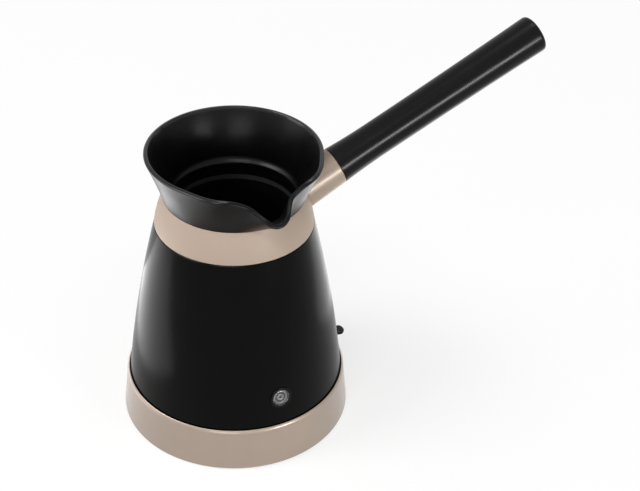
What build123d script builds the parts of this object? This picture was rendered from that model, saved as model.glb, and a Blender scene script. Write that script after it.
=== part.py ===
from build123d import *
from math import asin, cos, degrees, hypot, radians, sin, sqrt, tan
import os

# Cordless electric Turkish coffee maker: a conical pot with a spouted funnel and a long handle,
# standing on a round power base. Millimetres and degrees. Z is the pot's axis, the table is
# Z = 0, the handle leaves along +X and the spout and pilot lamp face -Y.

# Fits and gaps
RUNNING_FIT = 0.05        # radial clearance of a pin or plunger in its bore
SLIP_FIT = 0.1            # radial clearance of a piece pushed into another and fixed there
SCREW_FIT = 0.03          # radial clearance of a screw in its hole
MOVING_GAP = 0.4          # between pieces that pass each other
COUPLER_GAP = 0.8         # between the two halves of the cordless coupler
CUT_OVERRUN = 5.0         # how far a cut runs past the piece it opens

# Outline of the pot
SKIRT_R = 56.1            # pot shell where it stands in the base
BODY_H = 91.0             # black shell above the top edge of the base
BODY_TOP_R = 40.3
BODY_BULGE = 1.5          # outward bow of the shell between its two ends
BODY_WALL = 2.4
BODY_LAND_WALL = 3.7      # thicker land at the top of the shell
BODY_LAND_H = 4.0
BODY_SPIGOT_H = 1.6       # ring that centres the collar
COLLAR_SEAM = 0.3         # shadow line between shell and collar
COLLAR_H = 16.0
COLLAR_TAPER = 4.8        # collar's top edge inside its foot
COLLAR_BULGE = 0.55
COLLAR_WALL = 1.8
COLLAR_LEDGE_T = 2.0      # inner ledge that the funnel stands on
FUNNEL_H = 24.1
FUNNEL_FLARE = 8.7        # growth of the outer radius from the collar to the rim
FUNNEL_WALL = 2.3
FLARE_HOLLOW = 0.3        # inward bow of the flare, outside
FLARE_HOLLOW_INSIDE = 1.0
FLARE_START_H = 5.0       # throat above the ledge before the flare starts
THROAT_DRAFT = 0.2
THROAT_ROUND = 3.0        # knee between throat and flare
FUNNEL_FOOT_WALL = 2.6    # foot of the funnel, between collar and throat

# Pouring spout, made of rounded V sections across its length
SPOUT_REACH = 7.8         # tip beyond the rim
SPOUT_TIP_DROP = 13.6     # underside of the tip below the rim
SPOUT_UNDERSIDE_ANGLE = 31.0
SPOUT_ROOT_INSET = 1.0    # the sections start this far inside the throat's wall
SPOUT_ROOT_ROUND = 9.0
SPOUT_TIP_ROUND = 6.0
SPOUT_ROOT_HALF_ANGLE = 38.0
SPOUT_TIP_HALF_ANGLE = 20.0
SPOUT_WALL = 2.0
SPOUT_HEEL_BACK = 3.6     # side lips leave the rim this far behind its front
SPOUT_SADDLE = (1.2, 5.2) # where they turn outwards: behind the front, below the rim
SPOUT_BROW = (5.2, 7.8)   # where they turn down to the tip: beyond the front, below the rim
SPOUT_HEEL_ROUND = 5.0
SPOUT_SADDLE_ROUND = 3.0
SPOUT_BROW_ROUND = 4.5

# Power base
FOOT_H = 0.8
FOOT_POCKET = 1.2
FOOT_R = 5.5
FOOT_INSET = 15.0         # centres of the feet inside the base's edge
FOOT_COUNT = 4
FOOT_ANGLE = 45.0         # first foot, round from +X
BASE_H = 24.0             # table to the top edge of the base
BASE_LIP_GAP = 0.45       # shadow gap round the pot
BASE_LIP_T = 1.25
BASE_FLARE = 2.2          # growth of the outer radius from the shoulder to the bottom
BASE_SHOULDER_DROP = 2.9  # height of the rounded top edge
BASE_SHOULDER_BOW = 0.5
BASE_WALL = 2.2
RECESS_DRAFT = 0.2
COVER_HAUNCH = 2.0        # slope between the cover's side wall and its floor
PLATE_T = 2.4
PLATE_CHAMFER = 0.6
BASE_SCREW_INSET = 9.5
BASE_SCREW_COUNT = 4
BASE_SCREW_ANGLE = 68.0
BASE_BOSS_R = 3.6

# Cordless coupler
TOWER_R = 17.3
TOWER_H = 8.5             # above the recess floor
COUPLER_FLANGE_R = 24.0
COUPLER_FLANGE_T = 2.0
COUPLER_FLOOR_T = 1.0
COUPLER_PLATE_GAP = 1.0   # bottom plate to the coupler's underside
TOWER_ROUND = 0.8
DRIP_RING_T = 2.0
DRIP_RING_H = 2.0
PIN_R = 3.4               # centre earth pin of the pot
PIN_FLANGE_R = 5.0
PIN_FLANGE_T = 1.2
PIN_REACH = 11.0          # below the ceiling of the pot's socket
PIN_ROUND = 1.7
BLADE_MID_R = (8.6, 13.0) # the two ring blades, live and neutral
BLADE_T = 0.8
BLADE_REACH = 8.0
BLADE_ROOT = 1.2          # depth of the blades in the moulding that holds them
GROOVE_GAP = 0.5          # blade to groove wall on the free side
CONTACT_GAP = 0.3         # blade to contact leaf
CONTACT_T = 0.5
CONTACT_H = 7.0
CONTACT_ARC = 50.0
CONTACT_ANGLES = (120.0, 240.0)
CONTACT_TAIL_W = 4.0
CONTACT_TAIL_T = 0.8
CONTACT_TAIL_GAP = 0.6
SOCKET_WALL = 2.0

# Cord inlet at the back of the base
CORD_R = 3.2
GLAND_FIT = 0.1
GLAND_WALL = 1.2
GLAND_FLANGE = 1.0
GLAND_FLANGE_T = 1.6
GLAND_FLANGE_TAPER = 0.5
GLAND_LENGTH_INSIDE = 5.0
GLAND_Z = 7.6
CLAMP_BAR = (22.0, 7.0, 1.8)    # length, width, thickness
CLAMP_BAR_CORNER = 3.2
CLAMP_BAR_RISE = 0.6      # underside of the bar above the cord's axis
CLAMP_HUMP_WALL = 1.2
CLAMP_HEADROOM = 0.2      # below the cover's floor
CLAMP_BAR_INSET = 16.0
CLAMP_POST_R = 3.0
CLAMP_SCREW_SPACING = 15.0
SADDLE_W = 10.0
SADDLE_L = 6.0
SADDLE_DROP = 0.4         # top of the saddle below the cord's axis

# Screws
SCREW_HEAD_R = 2.8
SCREW_HEAD_H = 1.5
SCREW_SHANK_R = 1.45
SCREW_SLOT_W = 0.8
SCREW_SLOT_D = 0.6
SCREW_SINK = 0.3          # head below the face that it is sunk in
SCREW_TIP_GAP = 0.5

# Bottom moulding of the pot
FOOT_RING_W = 5.2
FOOT_RING_INSET = 0.5
FOOT_RING_STEP = 1.2      # foot ring under the edge of the shell
SOLE_RISE = 2.4           # underside of the moulding above the recess floor
SOLE_T = 2.2
SOLE_LIP_H = 1.5          # upright lip inside the shell
SOLE_LIP_T = 1.6
SOLE_PAD_WALL = 1.6
SOLE_PAD_GAP = 0.4
SOLE_SCREW_INSET = 8.5    # screw circle inside the skirt
SOLE_SCREW_ANGLES = (60.0, 180.0, 300.0)
SOLE_SCREW_H = 12.0
SHELL_BOSS_R = 3.5
SHELL_BOSS_H = 14.0
SHELL_WEB_T = 2.4
SHELL_WEB_FOOT = 2.0

# Chamber, heater and control
POT_WALL = 0.8
POT_INSET = 12.3          # widest part of the chamber inside the skirt
POT_CORNER = 8.0
POT_CORNER_H = 10.8       # floor to the widest part, where the tapering wall begins
NECK_H = 4.0
POT_FLANGE_RISE = 1.9     # chamber's flange above the shell's spigot
POT_FLANGE_GAP = 2.3      # flange to the inside of the collar
GASKET_T = 0.8
GASKET_SLEEVE_T = 0.8
HEATER_INSET = 5.8        # inside the chamber's widest part
HEATER_T = 3.0
ELEMENT_R = 3.25
ELEMENT_INSET = 8.5       # centre line of the loop inside the heater plate
ELEMENT_SINK = 0.8        # depth of the brazed groove in the heater plate
ELEMENT_GAP = 0.5         # element above the control
ELEMENT_GAP_ANGLE = 60.0
TAIL_INSIDE_ANGLE = 4.0   # tails back from the ends of the bent loop
TAIL_R = 1.5
TAIL_H = 5.0
CONTROL_R = 21.5
CONTROL_H = 13.9          # above the bottom moulding
CONTROL_FLANGE_R = 28.0
CONTROL_FLANGE_T = 2.0
CONTROL_SCREW_CIRCLE_R = 24.8
CONTROL_SCREW_ANGLES = (45.0, 135.0, 270.0)
CONTROL_POST_R = 2.6
CONTROL_POST_CIRCLE_R = 18.0
CONTROL_POST_ANGLES = (60.0, 180.0, 300.0)
EAR_W = 34.0
EAR_MARGIN = 4.0          # ear beyond the circle of the element's tails
EAR_DROP = 8.0
BIMETAL_R = 8.0
BIMETAL_T = 0.6
BIMETAL_BOSS_R = 5.0
BIMETAL_HOLE_R = 1.5
FUSE_R = 2.0
FUSE_L = 10.0
FUSE_Y = 13.0
FUSE_STRAP = (3.0, 2.5, 0.5)    # width, reach past the body, thickness

# Switch under the handle
SWITCH_ANGLE = -4.5       # round from +X
TAB_REACH = 7.1           # tip beyond the shell's skirt
TAB_W = 5.4
TAB_T = 3.0
TAB_CORNER = 2.2
TAB_ROOT = 2.0            # full width of the tab inside the shell's face
TAB_LIP_GAP = 1.5         # above the base's top edge when the tab is down
ARM_W = 5.0
ARM_L = 14.0              # from the pivot to the arm's inner end
ARM_ROUND = 0.75
PIVOT_INSET = 14.1        # pivot inside the skirt
PIVOT_PIN_R = 1.5
PIVOT_HUB_R = 3.4
CHEEK_T = 2.0
CHEEK_W = 9.0
CHEEK_TOP_WALL = 2.2
TAB_DOWN_TILT = 5.0       # lever's slope when the tab is down
TAB_UP_TILT = 5.0         # and when it is up
WINDOW_SIDE_GAP = 0.8
WINDOW_TOP_GAP = 0.8
WINDOW_CORNER = 1.2
PLUNGER_R = 2.0
PLUNGER_ROUND = 1.8       # its top edge
PLUNGER_ARM = 12.0        # from the pivot to the plunger
SWITCH_BOX_W = 14.0
SWITCH_BOX_WALL = 2.5

# Pilot lamp below the spout
LAMP_RISE = 6.4           # centre of the lamp above the control's top
LENS_R = 4.3
LENS_DOME = 0.7
LENS_T = 3.0
BEZEL_WALL = 0.7
BEZEL_FLANGE = 0.7
BEZEL_FLANGE_T = 0.5
BEZEL_SEAT = 0.15         # flange off the shell's round face
BEZEL_DEPTH = 8.0
BULB_R = 2.4
BULB_ROUND = 1.9
BULB_GAP = 0.5            # bulb to lens
BULB_HOLDER_T = 2.5
LEAD_R = 0.7
LEAD_SPACING = 3.0
LEAD_BEND_R = 4.0
LEAD_DROP = 9.0
LEAD_RUN = 5.0

# Handle
HANDLE_TILT = 23.5        # above the horizontal
JOINT_REACH = 21.3        # where ferrule and grip meet, out from the collar's top edge
JOINT_RISE = 0.3          # and above it
FERRULE_END_R = 10.0
FERRULE_ROOT_R = 11.0
FERRULE_WALL = 2.5
FERRULE_L = 26.0          # before the pot's outline is cut away
FERRULE_EDGE = 0.3
GRIP_L = 123.6
GRIP_WAIST_R = 9.2
GRIP_WAIST_AT = 24.0
GRIP_END_R = 10.15
GRIP_SPIGOT_L = 6.0
GRIP_BORE_R = 2.8
COUNTERBORE_R = 5.6
COUNTERBORE_L = 16.0
CAP_H = 3.4
CAP_ROUND = 2.2
CAP_SPIGOT_L = 7.0
CAP_SPIGOT_WALL = 1.6
BOLT_R = 2.0
BOLT_HEAD_R = 4.4
BOLT_HEAD_H = 3.0
BOLT_SOCKET_R = 2.4
BOLT_SOCKET_DEPTH = 1.8
INSERT_R = 3.6
INSERT_L = 10.0
BOSS_WALL = 2.4
BOSS_END = 8.0            # end of the collar's boss behind the ferrule's end
INSERT_SHOULDER = 1.5

# Heights and radii that follow from the sizes above
BODY_TOP_Z = BASE_H + BODY_H
COLLAR_TOP_R = BODY_TOP_R - COLLAR_TAPER
RIM_R = COLLAR_TOP_R + FUNNEL_FLARE
COLLAR_Z = BODY_TOP_Z + COLLAR_SEAM
COLLAR_TOP_Z = COLLAR_Z + COLLAR_H
RIM_Z = COLLAR_TOP_Z + FUNNEL_H
SPIGOT_TOP_Z = BODY_TOP_Z + BODY_SPIGOT_H
FLANGE_Z = SPIGOT_TOP_Z + POT_FLANGE_RISE
LEDGE_Z = FLANGE_Z + POT_WALL + GASKET_T
FUNNEL_FOOT_Z = LEDGE_Z + COLLAR_LEDGE_T
FUNNEL_SPIGOT_R = COLLAR_TOP_R - COLLAR_WALL - SLIP_FIT
THROAT_R = FUNNEL_SPIGOT_R - FUNNEL_FOOT_WALL
SPOUT_ROOT_R = THROAT_R - SPOUT_ROOT_INSET
LIP_R = SKIRT_R + BASE_LIP_GAP
SHOULDER_R = LIP_R + BASE_LIP_T
BASE_R = SHOULDER_R + BASE_FLARE
GLAND_R = CORD_R + GLAND_FIT
FOOT_CIRCLE_R = BASE_R - FOOT_INSET
BASE_SCREW_CIRCLE_R = BASE_R - BASE_SCREW_INSET
CLAMP_BAR_Y = BASE_R - CLAMP_BAR_INSET
CLAMP_HUMP_R = CORD_R + SLIP_FIT + CLAMP_HUMP_WALL
COVER_UNDER_Z = GLAND_Z + CLAMP_HUMP_R + CLAMP_HEADROOM
RECESS_Z = COVER_UNDER_Z + BASE_WALL
PLATE_TOP_Z = FOOT_H + PLATE_T
PLATE_R = BASE_R - BASE_WALL - SLIP_FIT
TOWER_TOP_Z = RECESS_Z + TOWER_H
FLOOR_HOLE_R = TOWER_R + SLIP_FIT
DRIP_R = FLOOR_HOLE_R + DRIP_RING_T
SOCKET_CEILING_Z = TOWER_TOP_Z + COUPLER_GAP
SOCKET_R = TOWER_R + COUPLER_GAP
SOCKET_FOOT_Z = RECESS_Z + DRIP_RING_H + COUPLER_GAP
SOLE_Z = RECESS_Z + SOLE_RISE
SOLE_TOP_Z = SOLE_Z + SOLE_T
SOLE_HOLE_R = SOCKET_R + SOCKET_WALL + SLIP_FIT
SHELL_FOOT_Z = RECESS_Z + FOOT_RING_STEP
SOLE_SCREW_CIRCLE_R = SKIRT_R - SOLE_SCREW_INSET
POT_R = SKIRT_R - POT_INSET
POT_FLANGE_R = BODY_TOP_R - COLLAR_WALL - POT_FLANGE_GAP
HEATER_R = POT_R - HEATER_INSET
ELEMENT_CIRCLE_R = HEATER_R - ELEMENT_INSET
EAR_REACH = ELEMENT_CIRCLE_R + EAR_MARGIN
CONTROL_TOP_Z = SOLE_TOP_Z + CONTROL_H
ELEMENT_Z = CONTROL_TOP_Z + ELEMENT_GAP + ELEMENT_R
HEATER_Z = ELEMENT_Z + ELEMENT_R - ELEMENT_SINK
POT_FLOOR_Z = HEATER_Z + HEATER_T
POT_CORNER_Z = POT_FLOOR_Z + POT_CORNER_H
BIMETAL_Z = HEATER_Z - BIMETAL_T - MOVING_GAP
NECK_R = THROAT_R + POT_WALL
TAB_TIP_R = SKIRT_R + TAB_REACH
PIVOT_R = SKIRT_R - PIVOT_INSET
PIVOT_Z = BASE_H + TAB_LIP_GAP + TAB_T / 2 + (LIP_R - PIVOT_R) * tan(radians(TAB_DOWN_TILT))
PLUNGER_X = PIVOT_R - PLUNGER_ARM
PLUNGER_TOP_Z = PIVOT_Z + PLUNGER_ARM * tan(radians(TAB_DOWN_TILT)) - TAB_T / 2 - MOVING_GAP
PLUNGER_TRAVEL = PLUNGER_ARM * (tan(radians(TAB_DOWN_TILT)) + tan(radians(TAB_UP_TILT)))
BOX_TOP_Z = PLUNGER_TOP_Z - PLUNGER_TRAVEL - RUNNING_FIT
LAMP_Z = CONTROL_TOP_Z + LAMP_RISE
JOINT_R = COLLAR_TOP_R + JOINT_REACH
JOINT_Z = COLLAR_TOP_Z + JOINT_RISE


def turned(outline):
    """Solid of revolution about Z of a closed outline drawn as (radius, height)."""
    return revolve(Plane.XZ * make_face(outline), Axis.Z)


def disc(radius, low, high):
    return Pos(0, 0, low) * extrude(Circle(radius), high - low)


def ring(inner, outer, low, high):
    return Pos(0, 0, low) * extrude(Circle(outer) - Circle(inner), high - low)


def block(x_low, x_high, y_low, y_high, z_low, z_high):
    return Pos(x_low, y_low, z_low) * Box(
        x_high - x_low, y_high - y_low, z_high - z_low, align=(Align.MIN, Align.MIN, Align.MIN)
    )


def at_polar(radius, angle):
    return Rot(0, 0, angle) * Pos(radius, 0, 0)


def spread(count, first):
    return [first + 360.0 * i / count for i in range(count)]


class Bow:
    """Circular arc between two (radius, height) points, bowed outwards by a sagitta."""

    def __init__(self, low, high, sagitta):
        chord = hypot(high[0] - low[0], high[1] - low[1])
        self.low_z = low[1]
        self.high_z = high[1]
        self.radius = (chord ** 2 / 4 + sagitta ** 2) / (2 * sagitta)
        out_r = (high[1] - low[1]) / chord
        out_z = (low[0] - high[0]) / chord
        back = self.radius - sagitta
        self.centre_r = (low[0] + high[0]) / 2 - back * out_r
        self.centre_z = (low[1] + high[1]) / 2 - back * out_z

    def at(self, height, inset=0.0):
        reach = self.radius - inset
        return self.centre_r + sqrt(reach ** 2 - (height - self.centre_z) ** 2)

    def edge(self, low_z, high_z, inset=0.0):
        middle = (low_z + high_z) / 2
        points = [(self.at(z, inset), z) for z in (low_z, middle, high_z)]
        return ThreePointArc(*points)

    def slope(self, height):
        """Angle of the outward normal above the horizontal."""
        return degrees(asin((height - self.centre_z) / self.radius))


BODY_BOW = Bow((SKIRT_R, BASE_H), (BODY_TOP_R, BODY_TOP_Z), BODY_BULGE)
COLLAR_BOW = Bow((BODY_TOP_R, COLLAR_Z), (COLLAR_TOP_R, COLLAR_TOP_Z), COLLAR_BULGE)
HANDLE_AXIS = Plane(
    origin=(JOINT_R, 0, JOINT_Z),
    x_dir=(0, 1, 0),
    z_dir=(cos(radians(HANDLE_TILT)), 0, sin(radians(HANDLE_TILT))),
)


def screw(length, head_r=SCREW_HEAD_R, head_h=SCREW_HEAD_H, shank_r=SCREW_SHANK_R):
    """Pan-head screw, head downwards on Z = 0, with a slotted head."""
    body = disc(head_r, -head_h, 0) + disc(shank_r, 0, length)
    body = fillet(body.edges().group_by(Axis.Z)[0], head_h / 3)
    slot = block(-head_r, head_r, -SCREW_SLOT_W / 2, SCREW_SLOT_W / 2, -head_h, SCREW_SLOT_D - head_h)
    return body - slot


def screw_hole(length):
    """Clearance for a screw and its sunk head, to be cut where the screw stands."""
    head = disc(SCREW_HEAD_R + SCREW_FIT, -SCREW_HEAD_H - CUT_OVERRUN, 0)
    return head + disc(SCREW_SHANK_R + SCREW_FIT, 0, length)


# Power base

def base_feet():
    foot = disc(FOOT_R, 0, FOOT_H + FOOT_POCKET)
    foot = fillet(foot.edges().group_by(Axis.Z)[0], FOOT_H / 3)
    return Part() + [at_polar(FOOT_CIRCLE_R, a) * foot for a in spread(FOOT_COUNT, FOOT_ANGLE)]


def base_screw_places():
    return [at_polar(BASE_SCREW_CIRCLE_R, a) for a in spread(BASE_SCREW_COUNT, BASE_SCREW_ANGLE)]


def base_screw_seat_z():
    return FOOT_H + SCREW_HEAD_H + SCREW_SINK


def base_screw_length():
    return COVER_UNDER_Z - base_screw_seat_z() - SCREW_TIP_GAP


def base_screws():
    seat = Pos(0, 0, base_screw_seat_z()) * screw(base_screw_length())
    return Part() + [place * seat for place in base_screw_places()]


def base_plate():
    plate = disc(PLATE_R, FOOT_H, PLATE_TOP_Z)
    plate = chamfer(plate.edges().group_by(Axis.Z)[0], PLATE_CHAMFER)
    pocket = disc(FOOT_R + SLIP_FIT, FOOT_H, FOOT_H + FOOT_POCKET)
    for angle in spread(FOOT_COUNT, FOOT_ANGLE):
        plate -= at_polar(FOOT_CIRCLE_R, angle) * pocket
    hole = Pos(0, 0, base_screw_seat_z()) * screw_hole(base_screw_length())
    for place in base_screw_places():
        plate -= place * hole
    y_low, y_high = CLAMP_BAR_Y - SADDLE_L / 2, CLAMP_BAR_Y + SADDLE_L / 2
    saddle = block(-SADDLE_W / 2, SADDLE_W / 2, y_low, y_high, PLATE_TOP_Z, GLAND_Z - SADDLE_DROP)
    plate += saddle - Pos(0, 0, GLAND_Z) * cord_rod(CORD_R + SLIP_FIT)
    for x in clamp_screw_xs():
        plate += Pos(x, CLAMP_BAR_Y, 0) * clamp_post()
    return plate - Pos(0, 0, GLAND_Z) * inlet_cut(SLIP_FIT)


def cord_rod(radius):
    """Straight rod along Y, wide enough to clear the whole inlet."""
    return Rot(90, 0, 0) * Cylinder(radius, 2 * BASE_R)


def clamp_bar_z():
    return GLAND_Z + CLAMP_BAR_RISE


def clamp_screw_xs():
    return (-CLAMP_SCREW_SPACING / 2, CLAMP_SCREW_SPACING / 2)


def clamp_post():
    post = disc(CLAMP_POST_R, PLATE_TOP_Z, clamp_bar_z())
    return post - disc(SCREW_SHANK_R + SCREW_FIT, PLATE_TOP_Z, clamp_bar_z())


def cord_clamp():
    """Bar that grips the cord's jacket against the saddle."""
    length, width, thick = CLAMP_BAR
    low = clamp_bar_z()
    bar = block(-length / 2, length / 2, CLAMP_BAR_Y - width / 2, CLAMP_BAR_Y + width / 2, low, low + thick)
    bar = fillet(bar.edges().filter_by(Axis.Z), CLAMP_BAR_CORNER)
    hump = Pos(0, CLAMP_BAR_Y, GLAND_Z) * Rot(90, 0, 0) * Cylinder(CLAMP_HUMP_R, width)
    bar += hump - block(-length, length, 0, BASE_R, 0, low)
    bar -= Pos(0, 0, GLAND_Z) * cord_rod(CORD_R + SLIP_FIT)
    for x in clamp_screw_xs():
        bar -= Pos(x, CLAMP_BAR_Y, 0) * disc(SCREW_SHANK_R + SCREW_FIT, low, low + thick)
    return bar


def clamp_screws():
    top = clamp_bar_z() + CLAMP_BAR[2]
    turned_over = Pos(0, CLAMP_BAR_Y, top) * Rot(180, 0, 0) * screw(top - PLATE_TOP_Z)
    return Part() + [Pos(x, 0, 0) * turned_over for x in clamp_screw_xs()]


def base_cover():
    shoulder_z = BASE_H - BASE_SHOULDER_DROP
    shoulder = Bow((SHOULDER_R, shoulder_z), (LIP_R, BASE_H), BASE_SHOULDER_BOW)
    outline = Line((BASE_R, FOOT_H), (SHOULDER_R, shoulder_z)) + shoulder.edge(shoulder_z, BASE_H)
    outline += Polyline(
        (LIP_R, BASE_H),
        (LIP_R - RECESS_DRAFT, RECESS_Z),
        (FLOOR_HOLE_R, RECESS_Z),
        (FLOOR_HOLE_R, COVER_UNDER_Z),
        (LIP_R, COVER_UNDER_Z),
        (BASE_R - BASE_WALL, COVER_UNDER_Z - COVER_HAUNCH),
        (BASE_R - BASE_WALL, FOOT_H),
        (BASE_R, FOOT_H),
    )
    cover = turned(outline)
    cover += ring(FLOOR_HOLE_R, DRIP_R, RECESS_Z, RECESS_Z + DRIP_RING_H)
    boss = disc(BASE_BOSS_R, PLATE_TOP_Z, COVER_UNDER_Z)
    pilot = disc(SCREW_SHANK_R + SCREW_FIT, PLATE_TOP_Z, COVER_UNDER_Z)
    for place in base_screw_places():
        cover += place * boss
        cover -= place * pilot
    return cover - Pos(0, 0, GLAND_Z) * inlet_cut(0.0)


def inlet_cut(gap):
    """Hole through the back wall that the cord bushing sits in."""
    radius = GLAND_R + GLAND_WALL + gap
    return Pos(0, BASE_R, 0) * Rot(90, 0, 0) * Cylinder(radius, 2 * (GLAND_LENGTH_INSIDE + CUT_OVERRUN))


def cord_bushing():
    """Flanged bushing in the back wall, the cord's way into the base."""
    wall_y = BASE_R - (GLAND_Z - FOOT_H) * BASE_FLARE / (BASE_H - BASE_SHOULDER_DROP - FOOT_H)
    flange_y = wall_y + GLAND_FLANGE_T
    back_y = wall_y - GLAND_LENGTH_INSIDE
    body_r = GLAND_R + GLAND_WALL
    outline = Polyline(
        (GLAND_R, back_y),
        (body_r, back_y),
        (body_r, wall_y),
        (body_r + GLAND_FLANGE, wall_y),
        (body_r + GLAND_FLANGE - GLAND_FLANGE_TAPER, flange_y),
        (GLAND_R, flange_y),
        (GLAND_R, back_y),
    )
    bushing = Pos(0, 0, GLAND_Z) * Rot(-90, 0, 0) * turned(outline)
    return bushing - (base_filled() - Pos(0, 0, GLAND_Z) * inlet_cut(0.0))


def base_filled():
    """Everything inside the side wall of the base."""
    top = BASE_H - BASE_SHOULDER_DROP
    return turned(Polyline((0, FOOT_H), (BASE_R, FOOT_H), (SHOULDER_R, top), (0, top), (0, FOOT_H)))


def groove_walls(mid_r):
    """Inner and outer radius of the groove that a ring blade enters."""
    inner = mid_r - BLADE_T / 2 - GROOVE_GAP
    outer = mid_r + BLADE_T / 2 + CONTACT_GAP + CONTACT_T
    return inner, outer


def contact_leaf(mid_r):
    """Arc-shaped leaf against the groove's outer wall, with a tail through the moulding."""
    outer = groove_walls(mid_r)[1]
    leaf = ring(outer - CONTACT_T, outer, COVER_UNDER_Z, COVER_UNDER_Z + CONTACT_H)
    reach = outer * tan(radians(CONTACT_ARC / 2))
    sector = extrude(make_face(Polyline((0, 0), (outer, -reach), (outer, reach), (0, 0))), BASE_H)
    tail = block(
        outer - CONTACT_TAIL_T, outer, -CONTACT_TAIL_W / 2, CONTACT_TAIL_W / 2,
        PLATE_TOP_Z + CONTACT_TAIL_GAP, COVER_UNDER_Z + CONTACT_T
    )
    return (leaf & sector) + tail


def coupler_contacts():
    return Part() + [Rot(0, 0, a) * contact_leaf(r) for a, r in zip(CONTACT_ANGLES, BLADE_MID_R)]


def base_coupler():
    """Moulded tower with a pin hole and two ring grooves."""
    foot = PLATE_TOP_Z + COUPLER_PLATE_GAP
    body = disc(TOWER_R, foot, TOWER_TOP_Z)
    body = fillet(body.edges().group_by(Axis.Z)[-1], TOWER_ROUND)
    body += disc(COUPLER_FLANGE_R, COVER_UNDER_Z - COUPLER_FLANGE_T, COVER_UNDER_Z)
    body -= disc(PIN_R + COUPLER_GAP, foot + COUPLER_FLOOR_T, TOWER_TOP_Z)
    for mid_r in BLADE_MID_R:
        inner, outer = groove_walls(mid_r)
        body -= ring(inner, outer, COVER_UNDER_Z, TOWER_TOP_Z)
    return body - coupler_contacts()


# Upper half of the coupler, carried by the pot

def earth_pin():
    low = SOCKET_CEILING_Z - PIN_REACH
    pin = disc(PIN_R, low, SOCKET_CEILING_Z)
    pin = fillet(pin.edges().group_by(Axis.Z)[0], PIN_ROUND)
    return pin + disc(PIN_FLANGE_R, SOCKET_CEILING_Z, SOCKET_CEILING_Z + PIN_FLANGE_T)


def coupler_rings():
    rings = []
    for mid_r in BLADE_MID_R:
        inner, outer = mid_r - BLADE_T / 2, mid_r + BLADE_T / 2
        blade = ring(inner, outer, SOCKET_CEILING_Z - BLADE_REACH, SOCKET_CEILING_Z + BLADE_ROOT)
        rings.append(blade)
    return Part() + rings


def control_housing():
    """Upper coupler socket, boil-dry control and switch box in one moulding."""
    block_z = SOCKET_CEILING_Z + SOCKET_WALL
    body = disc(SOCKET_R + SOCKET_WALL, SOCKET_FOOT_Z, block_z)
    body += disc(CONTROL_FLANGE_R, SOLE_TOP_Z, SOLE_TOP_Z + CONTROL_FLANGE_T)
    body += disc(CONTROL_R, SOLE_TOP_Z, CONTROL_TOP_Z)
    box_reach = PLUNGER_X + PLUNGER_R + SWITCH_BOX_WALL
    box = block(0, box_reach, -SWITCH_BOX_W / 2, SWITCH_BOX_W / 2, SOLE_TOP_Z, BOX_TOP_Z)
    body += Rot(0, 0, SWITCH_ANGLE) * box
    body += block(-EAR_REACH, 0, -EAR_W / 2, EAR_W / 2, CONTROL_TOP_Z - EAR_DROP, CONTROL_TOP_Z)
    post = disc(CONTROL_POST_R, CONTROL_TOP_Z, HEATER_Z)
    for angle in CONTROL_POST_ANGLES:
        body += at_polar(CONTROL_POST_CIRCLE_R, angle) * post
    body += disc(BIMETAL_BOSS_R, CONTROL_TOP_Z, BIMETAL_Z)
    body -= disc(SOCKET_R, SOCKET_FOOT_Z, SOCKET_CEILING_Z)
    body -= disc(PIN_FLANGE_R + RUNNING_FIT, SOCKET_CEILING_Z, SOCKET_CEILING_Z + PIN_FLANGE_T + RUNNING_FIT)
    body -= coupler_rings()
    body -= plunger_bore()
    for tail in element_tails():
        body -= tail
    hole = disc(SCREW_SHANK_R + SCREW_FIT, SOLE_TOP_Z, SOLE_TOP_Z + CONTROL_FLANGE_T)
    for angle in CONTROL_SCREW_ANGLES:
        body -= at_polar(CONTROL_SCREW_CIRCLE_R, angle) * hole
    return body


def control_screws():
    """Screws that hold the control's flange down on the bottom moulding."""
    top = SOLE_TOP_Z + CONTROL_FLANGE_T
    turned_over = Pos(0, 0, top) * Rot(180, 0, 0) * screw(CONTROL_FLANGE_T + SOLE_T)
    return Part() + [at_polar(CONTROL_SCREW_CIRCLE_R, a) * turned_over for a in CONTROL_SCREW_ANGLES]


# Switch

def trip_plunger():
    """Round-topped plunger under the lever's inner end, which trips the control's contacts."""
    body = disc(PLUNGER_R, SOLE_TOP_Z + PLUNGER_TRAVEL + RUNNING_FIT, PLUNGER_TOP_Z)
    body = fillet(body.edges().group_by(Axis.Z)[-1], PLUNGER_ROUND)
    return at_polar(PLUNGER_X, SWITCH_ANGLE) * body


def plunger_bore():
    return at_polar(PLUNGER_X, SWITCH_ANGLE) * disc(PLUNGER_R + RUNNING_FIT, SOLE_TOP_Z, BOX_TOP_Z)


def pivot():
    """Place of the lever's pivot, with X along the lever and Y along the pin."""
    return at_polar(PIVOT_R, SWITCH_ANGLE) * Pos(0, 0, PIVOT_Z)


def switch_lever():
    """Rocking lever: a tab outside, an arm and hub inside the shell, sloping down to the tab."""
    low, high = -TAB_T / 2, TAB_T / 2
    tab = block(SKIRT_R - PIVOT_R - TAB_ROOT, TAB_TIP_R - PIVOT_R, -TAB_W / 2, TAB_W / 2, low, high)
    tab = fillet(tab.edges().filter_by(Axis.Z).group_by(Axis.X)[-1], TAB_CORNER)
    lever = tab + block(-ARM_L, SKIRT_R - PIVOT_R, -ARM_W / 2, ARM_W / 2, low, high)
    lever = fillet(lever.edges().filter_by(Axis.Y).group_by(Axis.X)[0], ARM_ROUND)
    lever += Rot(90, 0, 0) * Cylinder(PIVOT_HUB_R, ARM_W)
    lever -= Rot(90, 0, 0) * Cylinder(PIVOT_PIN_R + RUNNING_FIT, ARM_W)
    return pivot() * Rot(0, TAB_DOWN_TILT, 0) * lever


def cheek_y():
    return ARM_W / 2 + MOVING_GAP


def switch_pin():
    length = 2 * (cheek_y() + CHEEK_T)
    return pivot() * Rot(90, 0, 0) * Cylinder(PIVOT_PIN_R, length)


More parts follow.
